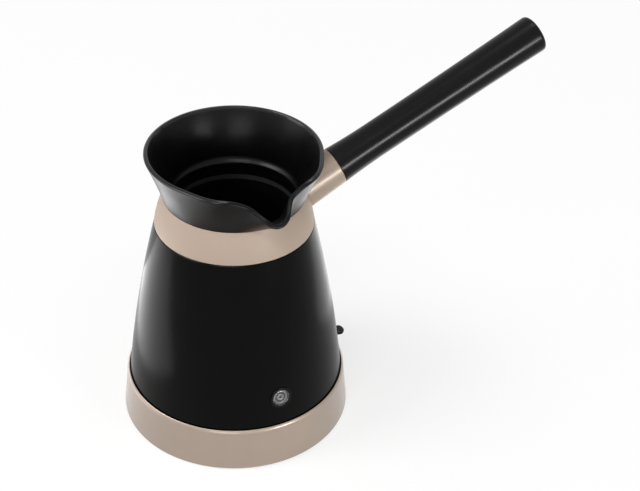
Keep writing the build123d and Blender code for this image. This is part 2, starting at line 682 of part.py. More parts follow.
def switch_bracket():
    """Two cheeks that stand on the bottom moulding and carry the pivot pin."""
    foot, top = SOLE_TOP_Z - PIVOT_Z, PIVOT_PIN_R + CHEEK_TOP_WALL
    outer = cheek_y() + CHEEK_T
    bracket = block(-CHEEK_W / 2, CHEEK_W / 2, -outer, outer, foot, foot + CHEEK_T)
    for side in (-1, 1):
        y_low, y_high = sorted((side * cheek_y(), side * outer))
        cheek = block(-CHEEK_W / 2, CHEEK_W / 2, y_low, y_high, foot, top)
        bracket += fillet(cheek.edges().filter_by(Axis.Y).group_by(Axis.Z)[-1], top)
    return pivot() * (bracket - Rot(90, 0, 0) * Cylinder(PIVOT_PIN_R + SCREW_FIT, 2 * outer))


# Pot: shell, bottom, chamber and heater

def shell_screw_seat_z():
    return RECESS_Z + SCREW_HEAD_H + SCREW_SINK


def shell_screw_places():
    return [at_polar(SOLE_SCREW_CIRCLE_R, a) for a in SOLE_SCREW_ANGLES]


def body_base_screws():
    seat = Pos(0, 0, shell_screw_seat_z()) * screw(SOLE_SCREW_H)
    return Part() + [place * seat for place in shell_screw_places()]


def body_base():
    """Bottom moulding: a foot ring under the shell and a sole that carries the control."""
    foot_r = SKIRT_R - FOOT_RING_INSET
    inner_r = foot_r - FOOT_RING_W
    rim_r = SKIRT_R - BODY_WALL - SLIP_FIT
    outline = Polyline(
        (foot_r, RECESS_Z),
        (foot_r, SHELL_FOOT_Z),
        (rim_r, SHELL_FOOT_Z),
        (rim_r, SOLE_TOP_Z + SOLE_LIP_H),
        (rim_r - SOLE_LIP_T, SOLE_TOP_Z + SOLE_LIP_H),
        (rim_r - SOLE_LIP_T, SOLE_TOP_Z),
        (SOLE_HOLE_R, SOLE_TOP_Z),
        (SOLE_HOLE_R, SOLE_Z),
        (inner_r, SOLE_Z),
        (inner_r, RECESS_Z),
        (foot_r, RECESS_Z),
    )
    sole = turned(outline)
    pad = disc(SCREW_HEAD_R + SOLE_PAD_WALL, RECESS_Z + SOLE_PAD_GAP, SOLE_Z)
    hole = Pos(0, 0, shell_screw_seat_z()) * screw_hole(SOLE_SCREW_H)
    for place in shell_screw_places():
        sole += place * pad
        sole -= place * hole
    hole = disc(SCREW_SHANK_R + SCREW_FIT, SOLE_Z, SOLE_TOP_Z)
    for angle in CONTROL_SCREW_ANGLES:
        sole -= at_polar(CONTROL_SCREW_CIRCLE_R, angle) * hole
    return sole


def body_shell():
    """Bowed conical shell with its skirt, screw bosses, lamp hole and switch window."""
    wall_in = SKIRT_R - BODY_WALL
    land_z = SPIGOT_TOP_Z - BODY_LAND_H
    land_r = BODY_TOP_R - BODY_LAND_WALL
    spigot_r = BODY_TOP_R - COLLAR_WALL - SLIP_FIT
    outline = Line((SKIRT_R, SHELL_FOOT_Z), (SKIRT_R, BASE_H))
    outline += BODY_BOW.edge(BASE_H, BODY_TOP_Z)
    outline += Polyline(
        (BODY_TOP_R, BODY_TOP_Z),
        (spigot_r, BODY_TOP_Z),
        (spigot_r, SPIGOT_TOP_Z),
        (land_r, SPIGOT_TOP_Z),
        (land_r, land_z),
        (BODY_BOW.at(land_z, BODY_WALL), land_z),
    )
    outline += BODY_BOW.edge(BASE_H, land_z, BODY_WALL)
    outline += Polyline(
        (BODY_BOW.at(BASE_H, BODY_WALL), BASE_H),
        (wall_in, SHELL_FOOT_Z),
        (SKIRT_R, SHELL_FOOT_Z),
    )
    shell = turned(outline)
    for place in shell_screw_places():
        shell += place * shell_boss()
    for place in shell_screw_places():
        shell -= place * disc(SCREW_SHANK_R + SCREW_FIT, SOLE_TOP_Z, SOLE_TOP_Z + SHELL_BOSS_H)
    shell -= LAMP_AXIS.location * disc(LENS_R + BEZEL_WALL + SLIP_FIT, -BEZEL_DEPTH, CUT_OVERRUN)
    return shell - switch_window()


def switch_window():
    """Slot through the shell with room for the lever's whole rock."""
    half = TAB_W / 2 + WINDOW_SIDE_GAP
    lift = (SKIRT_R - PIVOT_R) * tan(radians(TAB_UP_TILT))
    top = PIVOT_Z + TAB_T / 2 + lift + WINDOW_TOP_GAP
    window = block(PIVOT_R, TAB_TIP_R, -half, half, BASE_H + TAB_LIP_GAP / 2, top)
    return Rot(0, 0, SWITCH_ANGLE) * fillet(window.edges().filter_by(Axis.X), WINDOW_CORNER)


def shell_boss():
    """Screw boss with a web that ties it to the shell's wall."""
    top = SOLE_TOP_Z + SHELL_BOSS_H
    web = block(
        0, SKIRT_R - BODY_WALL / 2 - SOLE_SCREW_CIRCLE_R, -SHELL_WEB_T / 2, SHELL_WEB_T / 2,
        SOLE_TOP_Z + SHELL_WEB_FOOT, top
    )
    return disc(SHELL_BOSS_R, SOLE_TOP_Z, top) + web


def chamber_outline(inset):
    """Half outline of the chamber up to the neck, shrunk by the inset."""
    floor_z = POT_FLOOR_Z + inset
    path = FilletPolyline(
        (0, floor_z),
        (POT_R - inset, floor_z),
        (POT_R - inset, POT_CORNER_Z),
        (NECK_R - inset, FLANGE_Z - NECK_H),
        radius=POT_CORNER - inset,
    )
    return path + Polyline(
        (NECK_R - inset, FLANGE_Z - NECK_H), (NECK_R - inset, FLANGE_Z + POT_WALL),
        (0, FLANGE_Z + POT_WALL), (0, floor_z)
    )


def inner_pot():
    """Drawn steel chamber with a flange round its mouth."""
    pot = turned(chamber_outline(0.0)) + ring(THROAT_R, POT_FLANGE_R, FLANGE_Z, FLANGE_Z + POT_WALL)
    return pot - turned(chamber_outline(POT_WALL))


def pot_gasket():
    """L-shaped silicone ring between the pot's flange, the collar's ledge and the funnel."""
    flat = ring(THROAT_R, POT_FLANGE_R, FLANGE_Z + POT_WALL, LEDGE_Z)
    return flat + ring(THROAT_R, THROAT_R + GASKET_SLEEVE_T, FLANGE_Z + POT_WALL, FUNNEL_FOOT_Z)


def heater_plate():
    return disc(HEATER_R, HEATER_Z, POT_FLOOR_Z) - heating_element()


def element_tails():
    tails = []
    for side in (-1, 1):
        angle = 180.0 + side * (ELEMENT_GAP_ANGLE / 2 + TAIL_INSIDE_ANGLE)
        tail = disc(TAIL_R, ELEMENT_Z - ELEMENT_R - TAIL_H, ELEMENT_Z - ELEMENT_R / 2)
        tails.append(at_polar(ELEMENT_CIRCLE_R, angle) * tail)
    return tails


def heating_element():
    """Sheathed element bent to an open circle, with two cold tails."""
    section = Plane.XZ * Pos(ELEMENT_CIRCLE_R, ELEMENT_Z) * Circle(ELEMENT_R)
    loop = revolve(section, Axis.Z, 360.0 - ELEMENT_GAP_ANGLE)
    loop = Rot(0, 0, 180.0 + ELEMENT_GAP_ANGLE / 2) * loop
    for tail in element_tails():
        loop += tail
    return loop


def bimetal_disc():
    """Snap disc on the control's boss, close under the heater plate."""
    disc_body = disc(BIMETAL_R, BIMETAL_Z, BIMETAL_Z + BIMETAL_T)
    return disc_body - disc(BIMETAL_HOLE_R, BIMETAL_Z, BIMETAL_Z + BIMETAL_T)


def thermal_fuse():
    """Cylindrical cut-out that lies against the heater plate, with its strap."""
    body = Pos(0, FUSE_Y, HEATER_Z - FUSE_R) * Rot(0, 90, 0) * Cylinder(FUSE_R, FUSE_L)
    width, reach, thick = FUSE_STRAP
    half = FUSE_R + reach
    strap = block(-width / 2, width / 2, FUSE_Y - half, FUSE_Y + half, HEATER_Z - thick, HEATER_Z)
    return body + strap


# Collar, funnel and spout

def collar_ring():
    """Metallised collar with an inner ledge and a boss for the handle bolt."""
    inner_r = BODY_TOP_R - COLLAR_WALL
    top_in = COLLAR_TOP_R - COLLAR_WALL
    outline = COLLAR_BOW.edge(COLLAR_Z, COLLAR_TOP_Z)
    outline += Polyline(
        (COLLAR_TOP_R, COLLAR_TOP_Z),
        (top_in, COLLAR_TOP_Z),
        (COLLAR_BOW.at(FUNNEL_FOOT_Z, COLLAR_WALL), FUNNEL_FOOT_Z),
        (THROAT_R + GASKET_SLEEVE_T, FUNNEL_FOOT_Z),
        (THROAT_R + GASKET_SLEEVE_T, LEDGE_Z),
        (COLLAR_BOW.at(LEDGE_Z, COLLAR_WALL), LEDGE_Z),
        (inner_r, SPIGOT_TOP_Z),
        (inner_r, COLLAR_Z),
        (BODY_TOP_R, COLLAR_Z),
    )
    collar = turned(outline)
    boss_r = INSERT_R + BOSS_WALL
    boss = HANDLE_AXIS.location * disc(boss_r, -FERRULE_L, -BOSS_END)
    return collar + (boss - pot_filled()) - HANDLE_AXIS.location * insert_hole()


def pot_filled():
    """Everything inside the outer surface of the shell, the collar and the funnel."""
    outline = BODY_BOW.edge(BASE_H, BODY_TOP_Z) + Line((BODY_TOP_R, BODY_TOP_Z), (BODY_TOP_R, COLLAR_Z))
    outline += COLLAR_BOW.edge(COLLAR_Z, COLLAR_TOP_Z)
    outline += flare_outside()
    outline += Polyline((RIM_R, RIM_Z), (0, RIM_Z), (0, BASE_H), (SKIRT_R, BASE_H))
    return turned(outline)


def insert_hole():
    return disc(INSERT_R + SLIP_FIT, -BOSS_END - INSERT_L, -BOSS_END)


def flare_outside():
    return hollowed((COLLAR_TOP_R, COLLAR_TOP_Z), (RIM_R, RIM_Z), FLARE_HOLLOW)


def hollowed(low, high, sagitta):
    """Arc from low to high bowed towards the pot's axis."""
    chord = hypot(high[0] - low[0], high[1] - low[1])
    in_r = -(high[1] - low[1]) / chord
    in_z = (high[0] - low[0]) / chord
    middle = ((low[0] + high[0]) / 2 + sagitta * in_r, (low[1] + high[1]) / 2 + sagitta * in_z)
    return ThreePointArc(low, middle, high)


def flare_start():
    return (THROAT_R + THROAT_DRAFT, FUNNEL_FOOT_Z + FLARE_START_H)


def flare_inside():
    return hollowed(flare_start(), (RIM_R - FUNNEL_WALL, RIM_Z), FLARE_HOLLOW_INSIDE)


def funnel_filled():
    """Outer form of the funnel and its spigot, without its hollow."""
    outline = flare_outside()
    outline += Polyline(
        (RIM_R, RIM_Z), (0, RIM_Z), (0, FUNNEL_FOOT_Z), (FUNNEL_SPIGOT_R, FUNNEL_FOOT_Z),
        (FUNNEL_SPIGOT_R, COLLAR_TOP_Z), (COLLAR_TOP_R, COLLAR_TOP_Z)
    )
    return turned(outline)


def funnel_void():
    """Hollow of throat and flare, with a soft knee between them."""
    outline = flare_inside()
    outline += Polyline(
        (RIM_R - FUNNEL_WALL, RIM_Z), (0, RIM_Z), (0, FUNNEL_FOOT_Z),
        (THROAT_R, FUNNEL_FOOT_Z), flare_start()
    )
    face = make_face(outline)
    knee = face.vertices().sort_by_distance(flare_start())[0]
    return revolve(Plane.XZ * fillet(knee, THROAT_ROUND), Axis.Z)


def rounded_v(distance, bottom_z, rounding, half_angle, inset):
    """V section with a round bottom, across the spout at this distance from the axis."""
    slope = tan(radians(half_angle))
    point_z = bottom_z + inset - (rounding - inset) * (1 / sin(radians(half_angle)) - 1)
    top_z = RIM_Z + CUT_OVERRUN
    half = (top_z - point_z) * slope
    face = make_face(Polyline((-half, top_z), (0, point_z), (half, top_z), (-half, top_z)))
    face = fillet(face.vertices().sort_by(Axis.Y)[0], rounding - inset)
    return Plane(origin=(0, -distance, 0), x_dir=(1, 0, 0), z_dir=(0, -1, 0)) * face


def spout_body(inset):
    tip_r = RIM_R + SPOUT_REACH
    tip_z = RIM_Z - SPOUT_TIP_DROP
    root_z = tip_z - (tip_r - SPOUT_ROOT_R) * tan(radians(SPOUT_UNDERSIDE_ANGLE))
    root = rounded_v(SPOUT_ROOT_R, root_z, SPOUT_ROOT_ROUND, SPOUT_ROOT_HALF_ANGLE, inset)
    tip = rounded_v(tip_r, tip_z, SPOUT_TIP_ROUND, SPOUT_TIP_HALF_ANGLE, inset)
    return loft([root, tip], ruled=True)


def lip_line():
    """Lip seen from the side: along the rim, down its front, outwards and down to the tip."""
    return FilletPolyline(
        (-RIM_R, RIM_Z),
        (RIM_R - SPOUT_HEEL_BACK, RIM_Z),
        (RIM_R - SPOUT_SADDLE[0], RIM_Z - SPOUT_SADDLE[1]),
        (RIM_R + SPOUT_BROW[0], RIM_Z - SPOUT_BROW[1]),
        (RIM_R + SPOUT_REACH, RIM_Z - SPOUT_TIP_DROP),
        radius=(SPOUT_HEEL_ROUND, SPOUT_SADDLE_ROUND, SPOUT_BROW_ROUND),
    )


def below_lip():
    """Everything under the lip line and above the collar."""
    line = lip_line()
    tip, back = line @ 1, line @ 0
    outline = line + Polyline(
        (tip.X, tip.Y), (tip.X, COLLAR_TOP_Z), (back.X, COLLAR_TOP_Z), (back.X, back.Y)
    )
    side = Plane(origin=(-RIM_R, 0, 0), x_dir=(0, -1, 0), z_dir=(-1, 0, 0)) * make_face(outline)
    return extrude(side, amount=-2 * RIM_R)


def funnel_rim():
    """Flared funnel with a pulled spout, cut along its lip and then hollowed."""
    keep = below_lip()
    body = funnel_filled() + (spout_body(0.0) & keep)
    front = block(-RIM_R, RIM_R, -RIM_R - SPOUT_REACH, -SPOUT_ROOT_R, COLLAR_TOP_Z, RIM_Z + CUT_OVERRUN)
    return body - (front - keep) - funnel_void() - spout_body(SPOUT_WALL)


# Pilot lamp

LAMP_AXIS = Plane(
    origin=(0, -BODY_BOW.at(LAMP_Z), LAMP_Z),
    x_dir=(1, 0, 0),
    z_dir=(0, -cos(radians(BODY_BOW.slope(LAMP_Z))), sin(radians(BODY_BOW.slope(LAMP_Z)))),
)


def indicator_bezel():
    """Flanged sleeve pushed into the shell, which holds lens and bulb."""
    outer = LENS_R + BEZEL_WALL
    bezel = ring(LENS_R + SLIP_FIT / 2, outer, -BEZEL_DEPTH, BEZEL_FLANGE_T)
    bezel += ring(LENS_R + SLIP_FIT / 2, outer + BEZEL_FLANGE, BEZEL_SEAT, BEZEL_FLANGE_T)
    return LAMP_AXIS.location * bezel


def indicator_lens():
    crown_r = (LENS_R ** 2 + LENS_DOME ** 2) / (2 * LENS_DOME)
    top = BEZEL_FLANGE_T + LENS_DOME
    outline = ThreePointArc(
        (LENS_R, BEZEL_FLANGE_T),
        (LENS_R / 2, top - crown_r + sqrt(crown_r ** 2 - LENS_R ** 2 / 4)),
        (0, top),
    )
    outline += Polyline((0, top), (0, -LENS_T), (LENS_R, -LENS_T), (LENS_R, BEZEL_FLANGE_T))
    return LAMP_AXIS.location * turned(outline)


def indicator_lamp():
    """Neon bulb on a round holder at the back of the bezel's sleeve."""
    front = -LENS_T - BULB_GAP
    bulb = disc(BULB_R, -BEZEL_DEPTH, front)
    bulb = fillet(bulb.edges().group_by(Axis.Z)[-1], BULB_ROUND)
    foot = -BEZEL_DEPTH - BULB_HOLDER_T
    holder = disc(LENS_R, foot, -BEZEL_DEPTH)
    for x in lead_xs():
        holder -= Pos(x, 0, 0) * disc(LEAD_R, foot, foot + BULB_HOLDER_T / 2)
    return LAMP_AXIS.location * (bulb + holder)


def lamp_leads():
    """Two insulated leads from the lamp holder down to the control."""
    start = LAMP_AXIS.location * Pos(0, 0, -BEZEL_DEPTH - BULB_HOLDER_T / 2)
    bend = LAMP_AXIS.location * Pos(0, 0, -BEZEL_DEPTH - BULB_HOLDER_T - LEAD_RUN)
    end_z = bend.position.Z - LEAD_DROP
    leads = []
    for x in lead_xs():
        route = [
            (x, start.position.Y, start.position.Z),
            (x, bend.position.Y, bend.position.Z),
            (x, -CONTROL_R - LEAD_RUN, end_z),
            (x, -CONTROL_R, end_z),
        ]
        path = FilletPolyline(*route, radius=LEAD_BEND_R)
        section = Plane(origin=path @ 0, z_dir=path % 0) * Circle(LEAD_R)
        leads.append(sweep(section, path))
    return Part() + leads


def lead_xs():
    return (-LEAD_SPACING / 2, LEAD_SPACING / 2)


# Handle

def handle_ferrule():
    """Metallised sleeve between collar and grip, trimmed to the collar and funnel."""
    outline = Polyline(
        (0, 0), (FERRULE_END_R, 0), (FERRULE_ROOT_R, -FERRULE_L), (0, -FERRULE_L), (0, 0)
    )
    sleeve = turned(outline)
    sleeve = fillet(sleeve.edges().group_by(Axis.Z)[-1], FERRULE_EDGE)
    bore = disc(FERRULE_END_R - FERRULE_WALL, -FERRULE_L, 0)
    return HANDLE_AXIS.location * (sleeve - bore) - pot_filled()


def handle_insert():
    """Threaded brass insert in the collar's boss."""
    low = -BOSS_END - INSERT_L
    bore = disc(BOLT_R + SCREW_FIT, low + INSERT_SHOULDER, -BOSS_END)
    return HANDLE_AXIS.location * (disc(INSERT_R, low, -BOSS_END) - bore)


def bolt_seat():
    return GRIP_L - COUNTERBORE_L


def handle_bolt():
    """Long bolt from the end of the grip to the collar's insert."""
    tip = INSERT_SHOULDER - BOSS_END - INSERT_L + SCREW_TIP_GAP
    bolt = disc(BOLT_R, tip, bolt_seat()) + disc(BOLT_HEAD_R, bolt_seat(), bolt_seat() + BOLT_HEAD_H)
    socket = extrude(RegularPolygon(BOLT_SOCKET_R, 6), BOLT_SOCKET_DEPTH)
    socket_z = bolt_seat() + BOLT_HEAD_H - BOLT_SOCKET_DEPTH
    return HANDLE_AXIS.location * (bolt - Pos(0, 0, socket_z) * socket)


def handle_grip():
    """Waisted grip with a spigot for the ferrule and a bore for the bolt."""
    spigot_r = FERRULE_END_R - FERRULE_WALL - SLIP_FIT
    outline = Polyline((0, -GRIP_SPIGOT_L), (spigot_r, -GRIP_SPIGOT_L), (spigot_r, 0), (FERRULE_END_R, 0))
    outline += TangentArc((GRIP_WAIST_R, GRIP_WAIST_AT), (FERRULE_END_R, 0), tangent=(0, -1))
    outline += TangentArc((GRIP_WAIST_R, GRIP_WAIST_AT), (GRIP_END_R, GRIP_L), tangent=(0, 1))
    outline += Polyline((GRIP_END_R, GRIP_L), (0, GRIP_L), (0, -GRIP_SPIGOT_L))
    grip = turned(outline)
    grip -= disc(GRIP_BORE_R, -GRIP_SPIGOT_L, GRIP_L)
    grip -= disc(COUNTERBORE_R, bolt_seat(), GRIP_L)
    return HANDLE_AXIS.location * grip


def handle_end_cap():
    """Domed plug that hides the bolt."""
    cap = disc(GRIP_END_R, GRIP_L, GRIP_L + CAP_H)
    cap = fillet(cap.edges().group_by(Axis.Z)[-1], CAP_ROUND)
    plug_r = COUNTERBORE_R - SLIP_FIT
    spigot = ring(plug_r - CAP_SPIGOT_WALL, plug_r, GRIP_L - CAP_SPIGOT_L, GRIP_L)
    return HANDLE_AXIS.location * (cap + spigot)


NODES = [
    base_cover, base_plate, base_feet, base_screws, base_coupler, coupler_contacts,
    cord_bushing, cord_clamp, clamp_screws, earth_pin, coupler_rings, control_housing, control_screws,
    body_base, body_base_screws, body_shell, collar_ring, funnel_rim, inner_pot, pot_gasket,
    heater_plate, heating_element, bimetal_disc, thermal_fuse, indicator_bezel, indicator_lens,
    indicator_lamp, lamp_leads, handle_ferrule, handle_insert, handle_bolt, handle_grip,
    handle_end_cap, switch_lever, switch_pin, switch_bracket, trip_plunger,
]

os.makedirs("parts", exist_ok=True)
for node in NODES:
    export_step(node(), f"parts/{node.__name__}.step")
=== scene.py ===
from math import atan2, cos, hypot, pi, radians, sin, sqrt, tan

import bmesh
import bpy
from mathutils import Matrix, Vector


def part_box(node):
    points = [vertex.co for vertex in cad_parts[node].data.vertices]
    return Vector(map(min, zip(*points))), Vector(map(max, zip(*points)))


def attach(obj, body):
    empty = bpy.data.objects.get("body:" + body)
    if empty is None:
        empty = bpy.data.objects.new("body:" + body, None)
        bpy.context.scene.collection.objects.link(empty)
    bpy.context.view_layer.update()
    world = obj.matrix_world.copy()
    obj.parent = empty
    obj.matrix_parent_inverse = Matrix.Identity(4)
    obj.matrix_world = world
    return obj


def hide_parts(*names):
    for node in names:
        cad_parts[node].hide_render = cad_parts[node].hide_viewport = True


# Looks of the electric Turkish coffee maker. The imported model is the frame; every outline here is
# drawn in the frame's own millimetres and scaled to metres when its mesh is made.

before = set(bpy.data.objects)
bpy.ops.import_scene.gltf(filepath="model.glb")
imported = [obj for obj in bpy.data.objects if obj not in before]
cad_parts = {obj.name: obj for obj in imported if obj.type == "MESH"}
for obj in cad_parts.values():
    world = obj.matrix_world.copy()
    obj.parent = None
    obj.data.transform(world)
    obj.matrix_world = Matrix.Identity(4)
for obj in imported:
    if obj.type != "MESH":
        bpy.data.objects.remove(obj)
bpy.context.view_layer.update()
MM = 0.001


def box_mm(node):
    low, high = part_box(node)
    return [v / MM for v in low], [v / MM for v in high]


# Sizes read from the frame
(_, _, FOOT_Z), (BASE_R, _, BASE_TOP) = box_mm("base_cover")
(_, _, SHELL_FOOT_Z), (SKIRT_R, _, SPIGOT_TOP) = box_mm("body_shell")
(_, _, COLLAR_Z), _ = box_mm("collar_ring")
(_, _, FUNNEL_FOOT_Z), (RIM_R, _, RIM_Z) = box_mm("funnel_rim")
(_, _, POT_FLOOR_Z), (POT_R, _, _) = box_mm("inner_pot")
(_, _, GASKET_Z), _ = box_mm("pot_gasket")
(_, _, COUPLER_FOOT_Z), (_, _, TOWER_TOP_Z) = box_mm("base_coupler")
_, (_, BUSHING_END_Y, _) = box_mm("cord_bushing")

# Sizes of the pieces that the boxes don't give, as the construction has them
SHOULDER_DROP = 2.9
SHOULDER_R = 57.8
LIP_R = 56.55
COVER_WALL = 2.2
RECESS_Z = 14.5
RECESS_UNDER_Z = RECESS_Z - COVER_WALL
TOWER_R = 17.3
TOWER_FLANGE_R = 24.0
GROOVE_RADII = (13.0, 8.6)
PIN_HOLE_R = 4.2
INLET_Z = 7.6
INLET_R = 4.5
CORD_BORE_R = 3.3
BODY_TOP_Z = COLLAR_Z - 0.3
BODY_TOP_R = 40.3
BODY_BULGE = 1.5
BODY_WALL = 2.4
COLLAR_TOP_Z = COLLAR_Z + 16.0
COLLAR_TOP_R = 35.5
COLLAR_BULGE = 0.55
COLLAR_WALL = 1.8
SPIGOT_GAP = 0.1
BODY_SPIGOT_R = BODY_TOP_R - COLLAR_WALL - SPIGOT_GAP
FUNNEL_SPIGOT_R = COLLAR_TOP_R - COLLAR_WALL - SPIGOT_GAP
FUNNEL_WALL = 2.3
FUNNEL_BOW = 1.2
THROAT_R = 31.0
POT_WALL = 0.8
POT_FLANGE_R = 36.2
LAMP_Z = 39.4
LENS_R = 4.3
LENS_RISE = 0.7
BEZEL_R = 5.0
BEZEL_FLANGE_R = 5.7
HANDLE_TILT = radians(23.5)
JOINT_R = 56.8
JOINT_Z = 131.6
FERRULE_L = 26.0
FERRULE_END_R = 10.0
FERRULE_ROOT_R = 11.0
FERRULE_WALL = 2.5
GRIP_L = 123.6
WAIST_R = 9.2
WAIST_S = 24.0
GRIP_END_R = 10.15
GRIP_SPIGOT_R = FERRULE_END_R - FERRULE_WALL - SPIGOT_GAP
CAP_H = 3.4
SWITCH_ANGLE = radians(-4.5)
PIVOT_R = SKIRT_R - 14.1
PIVOT_BORE_R = 1.62
HUB_R = 3.4
LEVER_ARM_L = 14.0
TAB_TIP_R = SKIRT_R + 7.1
TAB_TILT = radians(5)
WINDOW_LOW = BASE_TOP + 0.75
WINDOW_HIGH = BASE_TOP + 7.7
WINDOW_HALF = 3.5
TURN_STEPS = 192


# Outlines

def corner(before, at, after, radius, steps):
    """Points of the arc that rounds the corner at `at` between its two neighbours."""
    at, before, after = Vector(at), Vector(before), Vector(after)
    to_before, to_after = (before - at).normalized(), (after - at).normalized()
    half = to_before.angle(to_after) / 2
    centre = at + (to_before + to_after).normalized() * (radius / sin(half))
    start, end = at + to_before * (radius / tan(half)), at + to_after * (radius / tan(half))
    first = atan2(start.y - centre.y, start.x - centre.x)
    sweep = atan2(end.y - centre.y, end.x - centre.x) - first
    sweep = (sweep + pi) % (2 * pi) - pi
    angles = [first + sweep * i / steps for i in range(steps + 1)]
    return [(centre.x + radius * cos(a), centre.y + radius * sin(a)) for a in angles]


def rounded(points, steps=6):
    """Closed outline from (x, y) or (x, y, corner radius) points."""
    outline = []
    for i, point in enumerate(points):
        if len(point) == 2:
            outline.append(tuple(point))
            continue
        before, after = points[i - 1], points[(i + 1) % len(points)]
        outline += corner(before[:2], point[:2], after[:2], point[2], steps)
    return outline


def quarter(steps, first=0):
    """Angles from 0 to a right angle, counted from the step `first`."""
    return [pi / 2 * i / steps for i in range(first, steps + 1)]


class Bow:
    """Circular arc between two (radius, height) points, bowed outwards by a sagitta."""

    def __init__(self, low, high, sagitta):
        chord = hypot(high[0] - low[0], high[1] - low[1])
        self.radius = (chord ** 2 / 4 + sagitta ** 2) / (2 * sagitta)
        back = self.radius - sagitta
        self.centre_r = (low[0] + high[0]) / 2 - back * (high[1] - low[1]) / chord
        self.centre_z = (low[1] + high[1]) / 2 - back * (low[0] - high[0]) / chord

    def at(self, height, inset=0.0):
        reach = self.radius - inset
        return self.centre_r + sqrt(reach ** 2 - (height - self.centre_z) ** 2)

    def points(self, low, high, steps, inset=0.0):
        heights = [low + (high - low) * i / steps for i in range(steps + 1)]
        return [(self.at(z, inset), z) for z in heights]

    def normal(self, height):
        """Outward normal as (radial, axial)."""
        up = (height - self.centre_z) / self.radius
        return sqrt(1 - up * up), up


BODY = Bow((SKIRT_R, BASE_TOP), (BODY_TOP_R, BODY_TOP_Z), BODY_BULGE)
COLLAR = Bow((BODY_TOP_R, COLLAR_Z), (COLLAR_TOP_R, COLLAR_TOP_Z), COLLAR_BULGE)
SHOULDER = Bow((SHOULDER_R, BASE_TOP - SHOULDER_DROP), (LIP_R, BASE_TOP), 0.5)


# Places

def placed(origin, z_axis, x_axis):
    """Place at an origin, with Z and X along two axes at right angles."""
    z_axis, x_axis = Vector(z_axis), Vector(x_axis)
    place = Matrix((x_axis, z_axis.cross(x_axis), z_axis)).transposed().to_4x4()
    place.translation = origin
    return place


def lamp_place():
    """Lamp's frame: Z outwards along the shell's normal, origin on its surface."""
    out, up = BODY.normal(LAMP_Z)
    return placed((0, -BODY.at(LAMP_Z), LAMP_Z), (0, -out, up), (1, 0, 0))


def inlet_place(y):
    """Frame of the cord's inlet: Z outwards through the base's back wall, origin at `y`."""
    return Matrix.Translation((0, y, INLET_Z)) @ Matrix.Rotation(-pi / 2, 4, "X")


LAMP = lamp_place()
# Handle's frame: Z along the handle, origin where ferrule and grip meet
HANDLE = placed((JOINT_R, 0, JOINT_Z), (cos(HANDLE_TILT), 0, sin(HANDLE_TILT)), (0, 1, 0))
SWITCH_TURN = Matrix.Rotation(SWITCH_ANGLE, 4, "Z")
UPRIGHT = Matrix.Identity(4)


# Meshes

def new_object(name, vertices, faces, place=UPRIGHT):
    """Closed mesh from millimetre points, its faces turned outwards."""
    mesh = bpy.data.meshes.new(name)
    mesh.from_pydata([(place @ Vector(v)) * MM for v in vertices], [], faces)
    shell = bmesh.new()
    shell.from_mesh(mesh)
    bmesh.ops.recalc_face_normals(shell, faces=shell.faces)
    shell.to_mesh(mesh)
    shell.free()
    thing = bpy.data.objects.new(name, mesh)
    bpy.context.scene.collection.objects.link(thing)
    return thing


def lathe(name, outline, place=UPRIGHT, steps=TURN_STEPS):
    """Solid of revolution about the place's Z of a closed outline of (radius, height) points."""
    vertices, rings = [], []
    for radius, height in outline:
        if radius < 1e-6:
            rings.append([len(vertices)] * steps)
            vertices.append((0, 0, height))
            continue
        rings.append(list(range(len(vertices), len(vertices) + steps)))
        for i in range(steps):
            angle = 2 * pi * i / steps
            vertices.append((radius * cos(angle), radius * sin(angle), height))
    faces = []
    for lower, upper in zip(rings, rings[1:] + rings[:1]):
        for i in range(steps):
            j = (i + 1) % steps
            loop = list(dict.fromkeys((lower[i], lower[j], upper[j], upper[i])))
            if len(loop) > 2:
                faces.append(loop)
    return new_object(name, vertices, faces, place)


def loft(name, sections, place=UPRIGHT, capped=False):
    """Solid through closed sections of equal length: a ring of them, or capped at its ends."""
    count, size = len(sections), len(sections[0])
    faces = [list(range(size)), list(range((count - 1) * size, count * size))] if capped else []
    for i in range(count - 1 if capped else count):
        j = (i + 1) % count
        for k in range(size):
            m = (k + 1) % size
            faces.append([i * size + k, j * size + k, j * size + m, i * size + m])
    return new_object(name, [v for section in sections for v in section], faces, place)


def combine(thing, other, operation):
    """Cuts the other out of the thing or joins it on, by the operation's name, and deletes it."""
    modifier = thing.modifiers.new("combine", "BOOLEAN")
    modifier.operation = operation
    modifier.solver = "EXACT"
    modifier.object = other
    bpy.context.view_layer.objects.active = thing
    bpy.ops.object.modifier_apply(modifier=modifier.name)
    bpy.data.objects.remove(other)


def drill(thing, radius, low, high, place, steps):
    """Cuts a round hole between two heights along the place's Z."""
    rod = lathe("drill", [(0, low), (radius, low), (radius, high), (0, high)], place, steps)
    combine(thing, rod, "DIFFERENCE")


def smooth(thing, angle=30.0, weighted=True):
    """Smooth shading with edges kept sharp above an angle."""
    thing.data.shade_smooth()
    thing.data.set_sharp_from_angle(angle=radians(angle))
    if weighted:
        modifier = thing.modifiers.new("normals", "WEIGHTED_NORMAL")
        modifier.keep_sharp = True


def dress(thing, material, body, slot, *nodes):
    """Gives a piece its material and body, and hides the frame's nodes that it stands for. The slot
    is not used.
    """
    thing.data.materials.append(material)
    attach(thing, body)
    if nodes:
        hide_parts(*nodes)


# Materials

def add_node(tree, kind, inputs, **settings):
    """New shader node. An input is given a value, or the output of another node to link to it."""
    node = tree.nodes.new("ShaderNode" + kind)
    for setting, value in settings.items():
        setattr(node, setting, value)
    for socket, value in inputs.items():
        if isinstance(value, bpy.types.NodeSocket):
            tree.links.new(value, node.inputs[socket])
        else:
            node.inputs[socket].default_value = value
    return node


